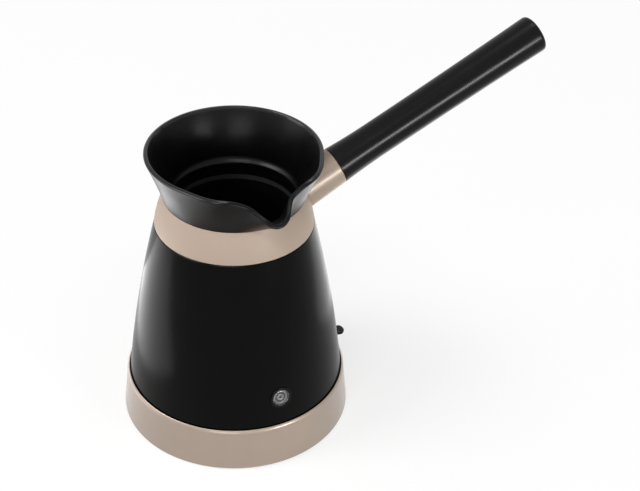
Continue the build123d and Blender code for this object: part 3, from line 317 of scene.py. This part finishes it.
class Surface:
    """Principled material whose colour, roughness and bump vary with noise in object space."""

    def __init__(self, name, roughness, **constants):
        self.material = bpy.data.materials.new(name)
        self.material.use_nodes = True
        self.tree = self.material.node_tree
        self.shader = self.tree.nodes["Principled BSDF"]
        self.shader.inputs["Roughness"].default_value = roughness
        self.roughness = roughness
        for socket, value in constants.items():
            self.shader.inputs[socket.replace("_", " ")].default_value = value
        self.coordinates = add_node(self.tree, "TexCoord", {}).outputs["Object"]

    def drive(self, socket, output):
        self.tree.links.new(output, self.shader.inputs[socket])

    def noise(self, scale, detail):
        """Noise with a grain of about 1 / scale metres."""
        inputs = {"Vector": self.coordinates, "Scale": scale, "Detail": detail}
        return add_node(self.tree, "TexNoise", inputs).outputs["Fac"]

    def mottled(self, scale, detail, dark, light):
        """Colour between a dark and a light one."""
        ramp = add_node(self.tree, "ValToRGB", {"Fac": self.noise(scale, detail)})
        for element, position, colour in zip(ramp.color_ramp.elements, (0.3, 0.7), (dark, light)):
            element.position = position
            element.color = (*colour, 1)
        self.drive("Base Color", ramp.outputs["Color"])

    def uneven(self, scale, detail, spread):
        """Roughness that strays from its middle by up to `spread`."""
        level = add_node(self.tree, "MapRange", {
            "Value": self.noise(scale, detail), "From Min": 0.3, "From Max": 0.7,
            "To Min": self.roughness - spread, "To Max": self.roughness + spread,
        })
        self.drive("Roughness", level.outputs["Result"])

    def grained(self, scale, detail, depth):
        """Skin raised by up to `depth` millimetres."""
        bump = add_node(self.tree, "Bump", {
            "Height": self.noise(scale, detail), "Strength": 1.0, "Distance": depth * MM,
        })
        self.drive("Normal", bump.outputs["Normal"])

    def polished_above(self, height, fade):
        """Light gloss over what is higher than `height`, fading in over `fade` mm below it."""
        axes = add_node(self.tree, "SeparateXYZ", {"Vector": self.coordinates})
        weight = add_node(self.tree, "MapRange", {
            "Value": axes.outputs["Z"], "From Min": (height - fade) * MM, "From Max": height * MM,
            "To Max": 0.35,
        })
        self.shader.inputs["Coat Roughness"].default_value = 0.1
        self.drive("Coat Weight", weight.outputs["Result"])


def shade(colour, factor):
    return tuple(c * factor for c in colour)


def moulded(name, colour, roughness, grain=0.004, polished_from=None, **constants):
    """Moulded plastic: slight mottling and a fine skin, with a gloss from a height up."""
    surface = Surface(name, roughness, **constants)
    if polished_from:
        surface.polished_above(polished_from, 0.4)
    surface.mottled(60, 4, shade(colour, 0.85), shade(colour, 1.15))
    surface.uneven(90, 3, roughness * 0.12)
    surface.grained(2500, 2, grain)
    return surface.material


def metallic_paint(name, colour, roughness, metallic=0.15, coat=0.0):
    """Metallised satin lacquer: a pearl of fine flakes under a soft sheen."""
    surface = Surface(name, roughness, Metallic=metallic, IOR=1.4,
                      Coat_Weight=coat, Coat_Roughness=0.1)
    surface.mottled(45, 3, shade(colour, 0.97), shade(colour, 1.03))
    surface.uneven(1400, 2, 0.05)
    surface.grained(3800, 2, 0.0025)
    return surface.material


def bare_metal(name, colour, roughness, grain=0.002):
    surface = Surface(name, roughness, Metallic=1.0)
    surface.mottled(70, 4, shade(colour, 0.88), shade(colour, 1.08))
    surface.uneven(900, 3, roughness * 0.25)
    surface.grained(2200, 2, grain)
    return surface.material


def clear_lens():
    surface = Surface("clear_lens", 0.06, Transmission_Weight=1.0, IOR=1.46)
    surface.mottled(40, 2, (0.93, 0.95, 0.95), (0.97, 0.98, 0.98))
    surface.uneven(300, 2, 0.02)
    return surface.material


CHAMPAGNE = metallic_paint("champagne_paint", (0.335, 0.262, 0.208), 0.56)
BASE_CHAMPAGNE = metallic_paint("champagne_lacquer", (0.302, 0.237, 0.187), 0.37, 0.4, 0.7)
# The ferrule's champagne is a little darker than the collar's: partly its own tone, partly painted
# shade for the shade on its top under the funnel.
FERRULE_PAINT_AND_SHADE = metallic_paint("champagne_ferrule", (0.31, 0.245, 0.19), 0.32)
SHELL_BLACK = moulded("satin_black", (0.0014, 0.0014, 0.0013), 0.22, 0.002, IOR=1.15)
GLOSS_BLACK = moulded("gloss_black", (0.0010, 0.0010, 0.0010), 0.24, 0.0006, IOR=1.24)
FUNNEL_BLACK = moulded("funnel_black", (0.0014, 0.0014, 0.0014), 0.31, 0.001, RIM_Z - 0.5, IOR=1.22)
MATT_BLACK = moulded("matt_black", (0.022, 0.022, 0.022), 0.5, 0.012)
CONTROL_GREY = moulded("control_grey", (0.045, 0.045, 0.05), 0.55, 0.012)
RUBBER = moulded("rubber", (0.018, 0.018, 0.018), 0.75, 0.02)
SILICONE = moulded("silicone", (0.018, 0.018, 0.019), 0.5, 0.006)
# The chamber is near black.
CHAMBER_BLACK = moulded("chamber_coating", (0.0025, 0.0025, 0.0025), 0.35, 0.003, IOR=1.2)
LEAD_RED = moulded("lead_sleeve", (0.5, 0.03, 0.02), 0.45, 0.006)
STEEL = bare_metal("zinc_steel", (0.62, 0.62, 0.63), 0.3)
BRASS = bare_metal("brass", (0.80, 0.60, 0.27), 0.26)
ALUMINIUM = bare_metal("cast_aluminium", (0.74, 0.74, 0.75), 0.42, grain=0.01)
SHEATH = bare_metal("element_sheath", (0.36, 0.33, 0.30), 0.38)
SILVER = bare_metal("silvered_dish", (0.24, 0.24, 0.23), 0.3, grain=0.0005)
LENS = clear_lens()


# Pieces

def base_cover():
    """Round cover of the power base: flared wall, rolled top edge, recess and drip ring."""
    hole_r = TOWER_R + 0.1
    drip_r, drip_z = hole_r + 2.0, RECESS_Z + 2.0
    wall_in = BASE_R - COVER_WALL
    shoulder = SHOULDER.points(BASE_TOP - SHOULDER_DROP, BASE_TOP - 0.25, 16)
    outline = rounded([(BASE_R, FOOT_Z, 0.35)] + shoulder + [
        (LIP_R, BASE_TOP, 0.2), (LIP_R - 0.2, RECESS_Z, 0.8), (drip_r, RECESS_Z, 0.5),
        (drip_r, drip_z, 0.4), (hole_r, drip_z, 0.4), (hole_r, RECESS_UNDER_Z),
        (LIP_R, RECESS_UNDER_Z), (wall_in, RECESS_UNDER_Z - 2.0), (wall_in, FOOT_Z),
    ])
    cover = lathe("base_cover_piece", outline)
    drill(cover, INLET_R, 0, 20, inlet_place(BASE_R - 10), 48)
    smooth(cover, 24)
    dress(cover, BASE_CHAMPAGNE, "power_base", "champagne_ring", "base_cover")


def base_coupler():
    """Coupler tower with its pin hole and two ring grooves, their mouths rounded."""
    seat_z, top, hole_floor = RECESS_UNDER_Z - 2.0, TOWER_TOP_Z, COUPLER_FOOT_Z + 1.0
    outline = [
        (0, COUPLER_FOOT_Z), (TOWER_R, COUPLER_FOOT_Z), (TOWER_R, seat_z),
        (TOWER_FLANGE_R, seat_z), (TOWER_FLANGE_R, RECESS_UNDER_Z), (TOWER_R, RECESS_UNDER_Z),
        (TOWER_R, top, 0.8),
    ]
    for middle in GROOVE_RADII:
        inner, outer = middle - 0.9, middle + 1.2
        outline += [(outer, top, 0.35), (outer, RECESS_UNDER_Z),
                    (inner, RECESS_UNDER_Z), (inner, top, 0.35)]
    outline += [(PIN_HOLE_R, top, 0.6), (PIN_HOLE_R, hole_floor), (0, hole_floor)]
    tower = lathe("base_coupler_piece", rounded(outline))
    smooth(tower)
    dress(tower, MATT_BLACK, "power_base", "black_moulding", "base_coupler")


def cord_bushing():
    """Flanged bushing of the cord's inlet, seated on the base's round wall."""
    body_r, face = INLET_R - 0.05, 1.59
    flange_r = body_r + 1.05
    outline = rounded([
        (CORD_BORE_R, -5.0), (body_r, -5.0), (body_r, -0.9), (flange_r, -0.9),
        (flange_r, 0.9, 0.5), (CORD_BORE_R + 1.0, face, 0.5), (CORD_BORE_R, face, 0.4),
    ])
    bushing = lathe("cord_bushing_piece", outline, inlet_place(BUSHING_END_Y - 1.6), 96)
    smooth(bushing)
    dress(bushing, MATT_BLACK, "power_base", "black_moulding", "cord_bushing")


def body_shell():
    """Bowed conical shell with its lamp hole and switch window."""
    land_z, land_r = SPIGOT_TOP - 4.0, BODY_TOP_R - 3.7
    outline = [(SKIRT_R, SHELL_FOOT_Z)] + BODY.points(BASE_TOP, BODY_TOP_Z - 0.3, 48)
    outline += [
        (BODY_TOP_R - 0.25, BODY_TOP_Z), (BODY_SPIGOT_R, BODY_TOP_Z), (BODY_SPIGOT_R, SPIGOT_TOP),
        (land_r, SPIGOT_TOP), (land_r, land_z), (BODY.at(land_z, BODY_WALL), land_z),
    ]
    outline += BODY.points(BASE_TOP, land_z, 12, BODY_WALL)[::-1][1:]
    outline += [(SKIRT_R - BODY_WALL, SHELL_FOOT_Z)]
    shell = lathe("body_shell_piece", outline)
    drill(shell, BEZEL_R + 0.1, -12, 6, LAMP, 64)
    window = rounded([
        (x, y, 1.2) for x, y in ((-WINDOW_LOW, -WINDOW_HALF), (-WINDOW_LOW, WINDOW_HALF),
                                 (-WINDOW_HIGH, WINDOW_HALF), (-WINDOW_HIGH, -WINDOW_HALF))
    ], 8)
    ends = [[(x, y, z) for x, y in window] for z in (PIVOT_R, TAB_TIP_R)]
    along_x = SWITCH_TURN @ Matrix.Rotation(pi / 2, 4, "Y")
    combine(shell, loft("switch_window", ends, along_x, capped=True), "DIFFERENCE")
    smooth(shell, 24)
    dress(shell, SHELL_BLACK, "pot", "black_shell", "body_shell")


def collar_ring():
    """Bowed collar with a ledge inside that carries the funnel and the chamber's flange."""
    ledge_r, ledge_z = THROAT_R + 0.8, FUNNEL_FOOT_Z - 2.0
    inner_r = BODY_TOP_R - COLLAR_WALL
    outline = [(BODY_TOP_R - 0.3, COLLAR_Z), (BODY_TOP_R - 0.05, COLLAR_Z + 0.12)]
    outline += COLLAR.points(COLLAR_Z + 0.3, COLLAR_TOP_Z - 0.3, 16)
    outline += [
        (COLLAR_TOP_R - 0.2, COLLAR_TOP_Z), (COLLAR_TOP_R - COLLAR_WALL, COLLAR_TOP_Z),
        (COLLAR.at(FUNNEL_FOOT_Z, COLLAR_WALL), FUNNEL_FOOT_Z), (ledge_r, FUNNEL_FOOT_Z),
        (ledge_r, ledge_z), (COLLAR.at(ledge_z, COLLAR_WALL), ledge_z),
        (inner_r, SPIGOT_TOP), (inner_r, COLLAR_Z),
    ]
    collar = lathe("collar_ring_piece", outline)
    smooth(collar, 24)
    dress(collar, CHAMPAGNE, "pot", "champagne_ring", "collar_ring")


# Pulled part of the lip, half of it: (x, y, height above the rim) from the round rim to the tip
LIP_START = radians(62)
LIP_POINTS = [
    (34.4, -29.2, 0.0), (30.8, -34.4, -0.1), (26.9, -38.1, -0.4), (22.7, -40.0, -1.0),
    (18.6, -41.0, -2.1), (14.8, -41.6, -3.9), (11.6, -42.5, -5.9), (9.2, -45.4, -8.0),
    (7.3, -48.5, -9.7), (5.5, -50.5, -11.4), (2.9, -51.6, -13.2), (0.0, -52.0, -13.8),
]
LIP_STEPS = 8
ROUND_STEPS = 76


def spline_through(points, steps):
    """Smooth curve through the points, with `steps` points for each span."""
    def derivative(i):
        before, after = points[max(i - 1, 0)], points[min(i + 1, len(points) - 1)]
        return (after - before) / (1 if i in (0, len(points) - 1) else 2)
    curve = []
    for i in range(len(points) - 1):
        a, b, da, db = points[i], points[i + 1], derivative(i), derivative(i + 1)
        for k in range(steps):
            t = k / steps
            curve.append(
                a * (2 * t ** 3 - 3 * t ** 2 + 1) + da * (t ** 3 - 2 * t ** 2 + t)
                + b * (3 * t ** 2 - 2 * t ** 3) + db * (t ** 3 - t ** 2)
            )
    return curve + [points[-1]]


def rim_point(angle):
    """Point of the round rim at an angle from the spout's direction."""
    return Vector((RIM_R * sin(angle), -RIM_R * cos(angle), RIM_Z))


def mirrored(point):
    return Vector((-point.x, point.y, point.z))


def lip_curve():
    """Outer edge of the lip, once round from the back, with the foot's angle below each point."""
    pulled = [Vector((x, y, RIM_Z + rise)) for x, y, rise in LIP_POINTS]
    guides = [rim_point(LIP_START * 1.15), rim_point(LIP_START)] + pulled + [mirrored(pulled[-2])]
    spout = spline_through(guides, LIP_STEPS)[LIP_STEPS:-LIP_STEPS]
    feet = [LIP_START * (1 - i / (len(spout) - 1)) for i in range(len(spout))]
    arc = [pi + (LIP_START - pi) * i / ROUND_STEPS for i in range(ROUND_STEPS)]
    right = [(rim_point(a), a) for a in arc] + list(zip(spout, feet))
    left = [(mirrored(p), -a) for p, a in right[1:-1]]
    return right + left[::-1]


def throat_bend():
    """(radius, height) points from the funnel's inner wall down over a ledge to its foot."""
    throat_top = (THROAT_R, COLLAR_TOP_Z - 2.4)
    ledge_top = (THROAT_R + 1.7, COLLAR_TOP_Z - 0.8)
    bend = corner((THROAT_R, FUNNEL_FOOT_Z), throat_top, ledge_top, 1.6, 6)
    bend += corner(throat_top, ledge_top, (RIM_R - FUNNEL_WALL, RIM_Z), 5.0, 10)
    return bend[::-1]


def funnel_section(point, angle, along, bend):
    """Closed section of the funnel under one point of its lip, where the lip runs `along`."""
    wall_steps, edge_steps, edge_r, inner_bow = 22, 5, 0.75, 4.0
    out = Vector((sin(angle), -cos(angle), 0))

    def at(radius, height):
        return out * radius + Vector((0, 0, height))

    foot = at(COLLAR_TOP_R, COLLAR_TOP_Z)
    up = (point - foot).normalized()
    normal = up.cross(along).normalized()
    if normal.dot(out) < 0:
        normal.negate()
    up = (up - along * up.dot(along)).normalized()
    outer_end = point - up * edge_r
    inner_end = outer_end - normal * FUNNEL_WALL
    bend = [at(*spot) for spot in bend]
    section = [at(THROAT_R, FUNNEL_FOOT_Z), at(FUNNEL_SPIGOT_R, FUNNEL_FOOT_Z),
               at(FUNNEL_SPIGOT_R, COLLAR_TOP_Z), at(COLLAR_TOP_R - 0.15, COLLAR_TOP_Z)]
    for k in range(wall_steps + 1):
        t = k / wall_steps
        section.append(foot.lerp(outer_end, t) - normal * (FUNNEL_BOW * t * (1 - t)))
    for a in quarter(edge_steps, 1):
        section.append(outer_end - normal * edge_r * (1 - cos(a)) + up * edge_r * sin(a))
    for a in quarter(edge_steps):
        section.append(inner_end + normal * edge_r * (1 - sin(a)) + up * edge_r * cos(a))
    for k in range(1, wall_steps):
        t = k / wall_steps
        section.append(inner_end.lerp(bend[0], t) - normal * (inner_bow * t * (1 - t)))
    return section + bend


def funnel_rim():
    """Flared funnel whose lip runs out into the spout, with walls of even thickness."""
    lip, bend = lip_curve(), throat_bend()
    sections = []
    for i, (point, angle) in enumerate(lip):
        along = (lip[(i + 1) % len(lip)][0] - lip[i - 1][0]).normalized()
        sections.append(funnel_section(point, angle, along, bend))
    funnel = loft("funnel_rim_piece", sections)
    smooth(funnel, 40, False)
    dress(funnel, FUNNEL_BLACK, "pot", "black_gloss", "funnel_rim")


def inner_pot():
    """Drawn chamber with a rounded floor corner and a flange under the funnel."""
    wide_r, neck_r, flange_z = POT_R - POT_WALL, THROAT_R + POT_WALL, GASKET_Z - POT_WALL
    corner_z, neck_z = POT_FLOOR_Z + 10.8, flange_z - 4.0
    outline = rounded([
        (0, POT_FLOOR_Z), (POT_R, POT_FLOOR_Z, 8.0), (POT_R, corner_z, 6.0), (neck_r, neck_z, 8.0),
        (neck_r, flange_z), (POT_FLANGE_R, flange_z), (POT_FLANGE_R, GASKET_Z),
        (THROAT_R, GASKET_Z), (THROAT_R, neck_z, 8.0 + POT_WALL),
        (wide_r, corner_z, 6.0 - POT_WALL), (wide_r, POT_FLOOR_Z + POT_WALL, 8.0 - POT_WALL),
        (0, POT_FLOOR_Z + POT_WALL),
    ], 10)
    chamber = lathe("inner_pot_piece", outline)
    smooth(chamber, 30)
    dress(chamber, CHAMBER_BLACK, "pot", "chamber_coating", "inner_pot")


def inside_pot(spot):
    """True inside the outer surface of body, collar and funnel."""
    radius, height = hypot(spot.x, spot.y), spot.z
    if height < BODY_TOP_Z:
        return radius < BODY.at(height)
    if height < COLLAR_Z:
        return radius < BODY_TOP_R
    if height < COLLAR_TOP_Z:
        return radius < COLLAR.at(height)
    rise = min((height - COLLAR_TOP_Z) / (RIM_Z - COLLAR_TOP_Z), 1.0)
    flare = COLLAR_TOP_R + (RIM_R - COLLAR_TOP_R) * rise
    return radius < flare - FUNNEL_BOW * rise * (1 - rise)


def pot_reach(point, heading):
    """Distance from a point back along the handle's heading to the pot's outer surface."""
    low, high = 0.0, 34.0
    for _ in range(40):
        middle = (low + high) / 2
        if inside_pot(point - heading * middle):
            high = middle
        else:
            low = middle
    return low


def handle_ferrule():
    """Sleeve between collar and grip, its end shaped to the collar and the funnel."""
    steps, rings, edge = 144, 14, 0.35
    bore = FERRULE_END_R - FERRULE_WALL
    turn = HANDLE.to_3x3()
    heading = turn @ Vector((0, 0, 1))
    sections = []
    for i in range(steps):
        angle = 2 * pi * i / steps
        across = turn @ Vector((cos(angle), sin(angle), 0))

        def spot(radius, back):
            return HANDLE.translation + across * radius - heading * back

        reach = pot_reach(spot(FERRULE_ROOT_R - 0.4, 0), heading)
        section = [spot(bore, pot_reach(spot(bore, 0), heading)), spot(bore, 0)]
        for a in quarter(4):
            section.append(spot(FERRULE_END_R - edge + edge * sin(a), edge - edge * cos(a)))
        for k in range(1, rings + 1):
            back = edge + (reach - edge) * k / rings
            widening = (FERRULE_ROOT_R - FERRULE_END_R) * back / FERRULE_L
            section.append(spot(FERRULE_END_R + widening, back))
        sections.append(section)
    ferrule = loft("handle_ferrule_piece", sections)
    smooth(ferrule, 35)
    dress(ferrule, FERRULE_PAINT_AND_SHADE, "pot", "champagne_ferrule", "handle_ferrule")


def grip_radius(at, end_r, end_s):
    """Radius of the grip on the arc that is level at the waist and passes through an end."""
    span, rise = end_s - WAIST_S, end_r - WAIST_R
    bend = (span ** 2 + rise ** 2) / (2 * rise)
    return WAIST_R + bend - sqrt(bend ** 2 - (at - WAIST_S) ** 2)


def handle_grip():
    """Waisted round grip, and the domed cap that closes its end."""
    flare = [(grip_radius(s, FERRULE_END_R, 0.0), s) for s in [WAIST_S * i / 16 for i in range(16)]]
    swell = [(grip_radius(s, GRIP_END_R, GRIP_L), s)
             for s in [WAIST_S + (GRIP_L - WAIST_S) * i / 24 for i in range(25)]]
    outline = [(0, -6), (GRIP_SPIGOT_R, -6), (GRIP_SPIGOT_R, 0), (FERRULE_END_R - 0.3, 0)]
    outline += [(FERRULE_END_R - 0.08, 0.1), (flare[0][0] - 0.01, 0.3)] + flare[1:] + swell
    grip = lathe("handle_grip_piece", outline + [(0, GRIP_L)], HANDLE, 144)
    smooth(grip, 30)
    dress(grip, GLOSS_BLACK, "pot", "black_gloss", "handle_grip")
    end = GRIP_L + CAP_H
    dome = rounded([(0, GRIP_L), (GRIP_END_R, GRIP_L), (GRIP_END_R, end, 2.2), (0, end)], 10)
    cap = lathe("handle_end_cap_piece", dome, HANDLE, 144)
    smooth(cap, 30)
    dress(cap, GLOSS_BLACK, "pot", "black_gloss", "handle_end_cap")


def switch_lever():
    """Rocking lever with a rounded tab outside, and a hub and arm inside the shell."""
    face, tip = SKIRT_R - PIVOT_R - 2.0, TAB_TIP_R - PIVOT_R
    arm_half, tab_half, half_t, nose = 2.45, 2.7, 1.5, 2.65
    # Stations along the lever: (x, half width, half thickness)
    stations = [
        (-LEVER_ARM_L, 1.9, 0.8), (-LEVER_ARM_L + 0.2, 2.3, 1.2),
        (-LEVER_ARM_L + 0.75, arm_half, half_t), (face, arm_half, half_t),
        (face + 0.2, tab_half, half_t), (tip - nose, tab_half, half_t),
    ]
    for a in quarter(12, 1):
        w, t = max(tab_half * cos(a), 0.6), max(0.2 + 1.3 * cos(a), 0.45)
        stations.append((tip - nose + nose * sin(a), w, t))
    sections = []
    for x, w, t in stations:
        r = min(0.7, w * 0.6, t * 0.9)
        loop = rounded([(-w, -t, r), (w, -t, r), (w, t, r), (-w, t, r)], 5)
        sections.append([(x, y, z) for y, z in loop])
    pivot_z = BASE_TOP + 3.0 + (LIP_R - PIVOT_R) * tan(TAB_TILT)
    place = (SWITCH_TURN @ Matrix.Translation((PIVOT_R, 0, pivot_z))
             @ Matrix.Rotation(TAB_TILT, 4, "Y"))
    lever = loft("switch_lever_piece", sections, place, capped=True)
    across = place @ Matrix.Rotation(pi / 2, 4, "X")
    hub = rounded([(0, -2.5), (HUB_R, -2.5, 0.3), (HUB_R, 2.5, 0.3), (0, 2.5)])
    combine(lever, lathe("hub", hub, across, 72), "UNION")
    drill(lever, PIVOT_BORE_R, -4, 4, across, 72)
    smooth(lever, 35)
    dress(lever, GLOSS_BLACK, "switch_lever", "black_gloss", "switch_lever")


def indicator():
    """Pilot lamp: dark bezel, clear dome, and a black well with two silvered rings behind it."""
    bore, flange, lip_z = LENS_R + 0.05, 0.5, 0.15
    bezel = lathe("indicator_bezel_piece", rounded([
        (bore, -8.0), (bore, flange, 0.15), (BEZEL_FLANGE_R, flange, 0.3),
        (BEZEL_FLANGE_R, lip_z), (BEZEL_R, lip_z), (BEZEL_R, -8.0),
    ]), LAMP, 96)
    smooth(bezel)
    dress(bezel, GLOSS_BLACK, "pot", "black_gloss", "indicator_bezel")
    dome_r = (LENS_R ** 2 + LENS_RISE ** 2) / (2 * LENS_RISE)
    radii = [LENS_R * (1 - i / 12) for i in range(12)] + [0.0]
    dome = [(r, flange + LENS_RISE - dome_r + sqrt(dome_r ** 2 - r ** 2)) for r in radii]
    lens = lathe("indicator_lens_piece", [(0, -0.4), (LENS_R, -0.4)] + dome, LAMP, 96)
    smooth(lens)
    dress(lens, LENS, "pot", "lamp_lens", "indicator_lens")
    well = [(0, -3.0), (LENS_R - 0.05, -3.0), (LENS_R - 0.05, -0.45), (LENS_R - 0.3, -0.45),
            (LENS_R - 0.6, -1.3), (0, -1.3)]
    behind_lens("indicator_dish", well, GLOSS_BLACK)
    for name, radius in (("indicator_ring", 3.05), ("indicator_core", 1.25)):
        arch = [(radius + 0.5 * cos(a), -1.35 + 0.75 * sin(a)) for a in
                [pi * i / 12 for i in range(13)]]
        behind_lens(name, arch, SILVER)


def behind_lens(name, outline, material):
    """Part of the lamp behind its lens, drawn in the scene alone."""
    part = lathe(name, outline, LAMP, 96)
    smooth(part, 50)
    dress(part, material, "pot", "lamp_lens")


base_cover()
body_shell()
collar_ring()
funnel_rim()
inner_pot()
handle_ferrule()
handle_grip()
switch_lever()
cord_bushing()
base_coupler()
indicator()

# Nodes that keep their own shape
FINISH = {
    MATT_BLACK: ("base_plate", "cord_clamp", "body_base", "trip_plunger"),
    CONTROL_GREY: ("control_housing", "switch_bracket"),
    RUBBER: ("base_feet",),
    SILICONE: ("pot_gasket",),
    STEEL: ("base_screws", "clamp_screws", "control_screws", "body_base_screws", "thermal_fuse",
            "handle_bolt", "switch_pin"),
    BRASS: ("coupler_contacts", "earth_pin", "coupler_rings", "bimetal_disc", "handle_insert"),
    ALUMINIUM: ("heater_plate",),
    SHEATH: ("heating_element",),
    LENS: ("indicator_lamp",),
    LEAD_RED: ("lamp_leads",),
}
for finish, names in FINISH.items():
    for name in names:
        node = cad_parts[name]
        node.data.materials.clear()
        node.data.materials.append(finish)


# Stage: floor, world, lamps and camera

FLOOR_HALF = 4.0
CENTRE = Vector((38.07, -20.67, 100.42)) * MM
CAMERA_AZIMUTH = radians(-28.5)
CAMERA_ELEVATION = radians(35.35)
CAMERA_ROLL = radians(1.76)
CAMERA_DISTANCE = 0.76168
CAMERA_LENS = 84.375


def light_path(tree):
    """1 for camera, glossy and transmission rays, 0 for the rest."""
    rays = add_node(tree, "LightPath", {}).outputs
    total = rays["Is Camera Ray"]
    for ray in ("Is Glossy Ray", "Is Transmission Ray"):
        total = add_node(tree, "Math", {0: total, 1: rays[ray]}, operation="MAXIMUM").outputs[0]
    return total


def white_world(strength):
    """White where it is seen or mirrored, dimmer where it lights the object."""
    world = bpy.data.worlds.new("studio")
    bpy.context.scene.world = world
    world.use_nodes = True
    tree = world.node_tree
    background = tree.nodes["Background"]
    background.inputs["Color"].default_value = (1, 1, 1, 1)
    level = add_node(tree, "MapRange", {
        "Value": light_path(tree), "To Min": strength, "To Max": 1.0,
    })
    tree.links.new(level.outputs["Result"], background.inputs["Strength"])


def white_floor(glow, reach):
    """Pale floor that takes the object's shadow. Part of its white is its own glow, which
    rises from the first share to the second between two distances from the origin."""
    corners = [(-1, -1), (1, -1), (1, 1), (-1, 1)]
    mesh = bpy.data.meshes.new("floor")
    mesh.from_pydata([(x * FLOOR_HALF, y * FLOOR_HALF, 0) for x, y in corners], [], [(0, 1, 2, 3)])
    floor = bpy.data.objects.new("floor", mesh)
    bpy.context.scene.collection.objects.link(floor)
    material = bpy.data.materials.new("floor_white")
    material.use_nodes = True
    tree = material.node_tree
    tree.nodes.clear()
    place = add_node(tree, "NewGeometry", {}).outputs["Position"]
    distance = add_node(tree, "VectorMath", {0: place}, operation="LENGTH").outputs["Value"]
    fade = add_node(tree, "MapRange", {
        "Value": distance, "From Min": reach[0], "From Max": reach[1],
        "To Min": glow[0], "To Max": glow[1],
    }, interpolation_type="SMOOTHSTEP").outputs["Result"]
    amount = add_node(tree, "Math", {0: light_path(tree), 1: fade}, operation="MULTIPLY")
    paint = add_node(tree, "BsdfDiffuse", {"Color": (0.92, 0.92, 0.92, 1)})
    shine = add_node(tree, "Emission", {"Strength": 1.0})
    mix = add_node(tree, "MixShader", {
        "Fac": amount.outputs[0], 1: paint.outputs[0], 2: shine.outputs[0],
    })
    add_node(tree, "OutputMaterial", {"Surface": mix.outputs[0]})
    mesh.materials.append(material)


def direction(azimuth, elevation):
    """Unit vector from the object towards a viewer; azimuth 0 is -Y, positive towards +X."""
    flat = cos(elevation)
    return Vector((flat * sin(azimuth), -flat * cos(azimuth), sin(elevation)))


def put(thing, matrix):
    thing.matrix_world = matrix
    bpy.context.scene.collection.objects.link(thing)


def aimed(place, target, roll=0.0):
    """Matrix of a camera or lamp at a place, looking at a target."""
    look = (target - place).to_track_quat("-Z", "Y").to_matrix().to_4x4()
    return Matrix.Translation(place) @ look @ Matrix.Rotation(roll, 4, "Z")


def camera():
    data = bpy.data.cameras.new("photo_camera")
    data.lens = CAMERA_LENS
    data.sensor_width = 36.0
    data.clip_start = 0.01
    thing = bpy.data.objects.new("photo_camera", data)
    place = CENTRE + direction(CAMERA_AZIMUTH, CAMERA_ELEVATION) * CAMERA_DISTANCE
    put(thing, aimed(place, CENTRE, CAMERA_ROLL))
    bpy.context.scene.camera = thing


def panel_lamp(name, size, radiance):
    """Rectangular lamp of an even brightness that the camera doesn't see."""
    data = bpy.data.lights.new(name, "AREA")
    data.shape = "RECTANGLE"
    data.size, data.size_y = size
    data.energy = radiance * pi * size[0] * size[1]
    thing = bpy.data.objects.new(name, data)
    thing.visible_camera = False
    return thing


def softbox(name, azimuth, elevation, distance, size, radiance, target=(0, 0, 80)):
    """Lamp aimed at a target in millimetres; azimuth is counted from the camera's side."""
    target = Vector(target) * MM
    heading = direction(CAMERA_AZIMUTH + radians(azimuth), radians(elevation))
    put(panel_lamp(name, size, radiance), aimed(target + heading * distance, target))


def floor_card(name, azimuth, reach, size, radiance):
    """Bright card on the table beside the object, facing up."""
    turn = CAMERA_AZIMUTH + radians(azimuth)
    place = direction(turn, 0.0) * reach + Vector((0, 0, 0.001))
    facing_up = Matrix.Rotation(turn, 4, "Z") @ Matrix.Rotation(pi, 4, "X")
    put(panel_lamp(name, size, radiance), Matrix.Translation(place) @ facing_up)


white_world(0.15)
white_floor((0.7, 0.94), (0.06, 0.20))
softbox("main", -72, 46, 1.1, (0.45, 0.35), 12.0)
softbox("overhead", 118, 76, 1.1, (0.4, 0.4), 4.0)
softbox("key", 43, 6, 1.0, (0.36, 0.16), 30.0, (80, 0, 135))
softbox("front", -6, 12, 1.0, (0.50, 0.20), 6.5, (0, 0, 140))
softbox("front_high", -10, 56, 1.0, (0.45, 0.12), 14.0, (0, 0, 60))
softbox("left_side", -88, 28, 1.0, (0.5, 0.5), 3.3)
floor_card("left_card", -97, 0.243, (0.21, 0.27), 2.6)
floor_card("right_card", 145, 0.25, (0.26, 0.26), 1.2)
camera()

scene = bpy.context.scene
scene.view_settings.view_transform = "Standard"
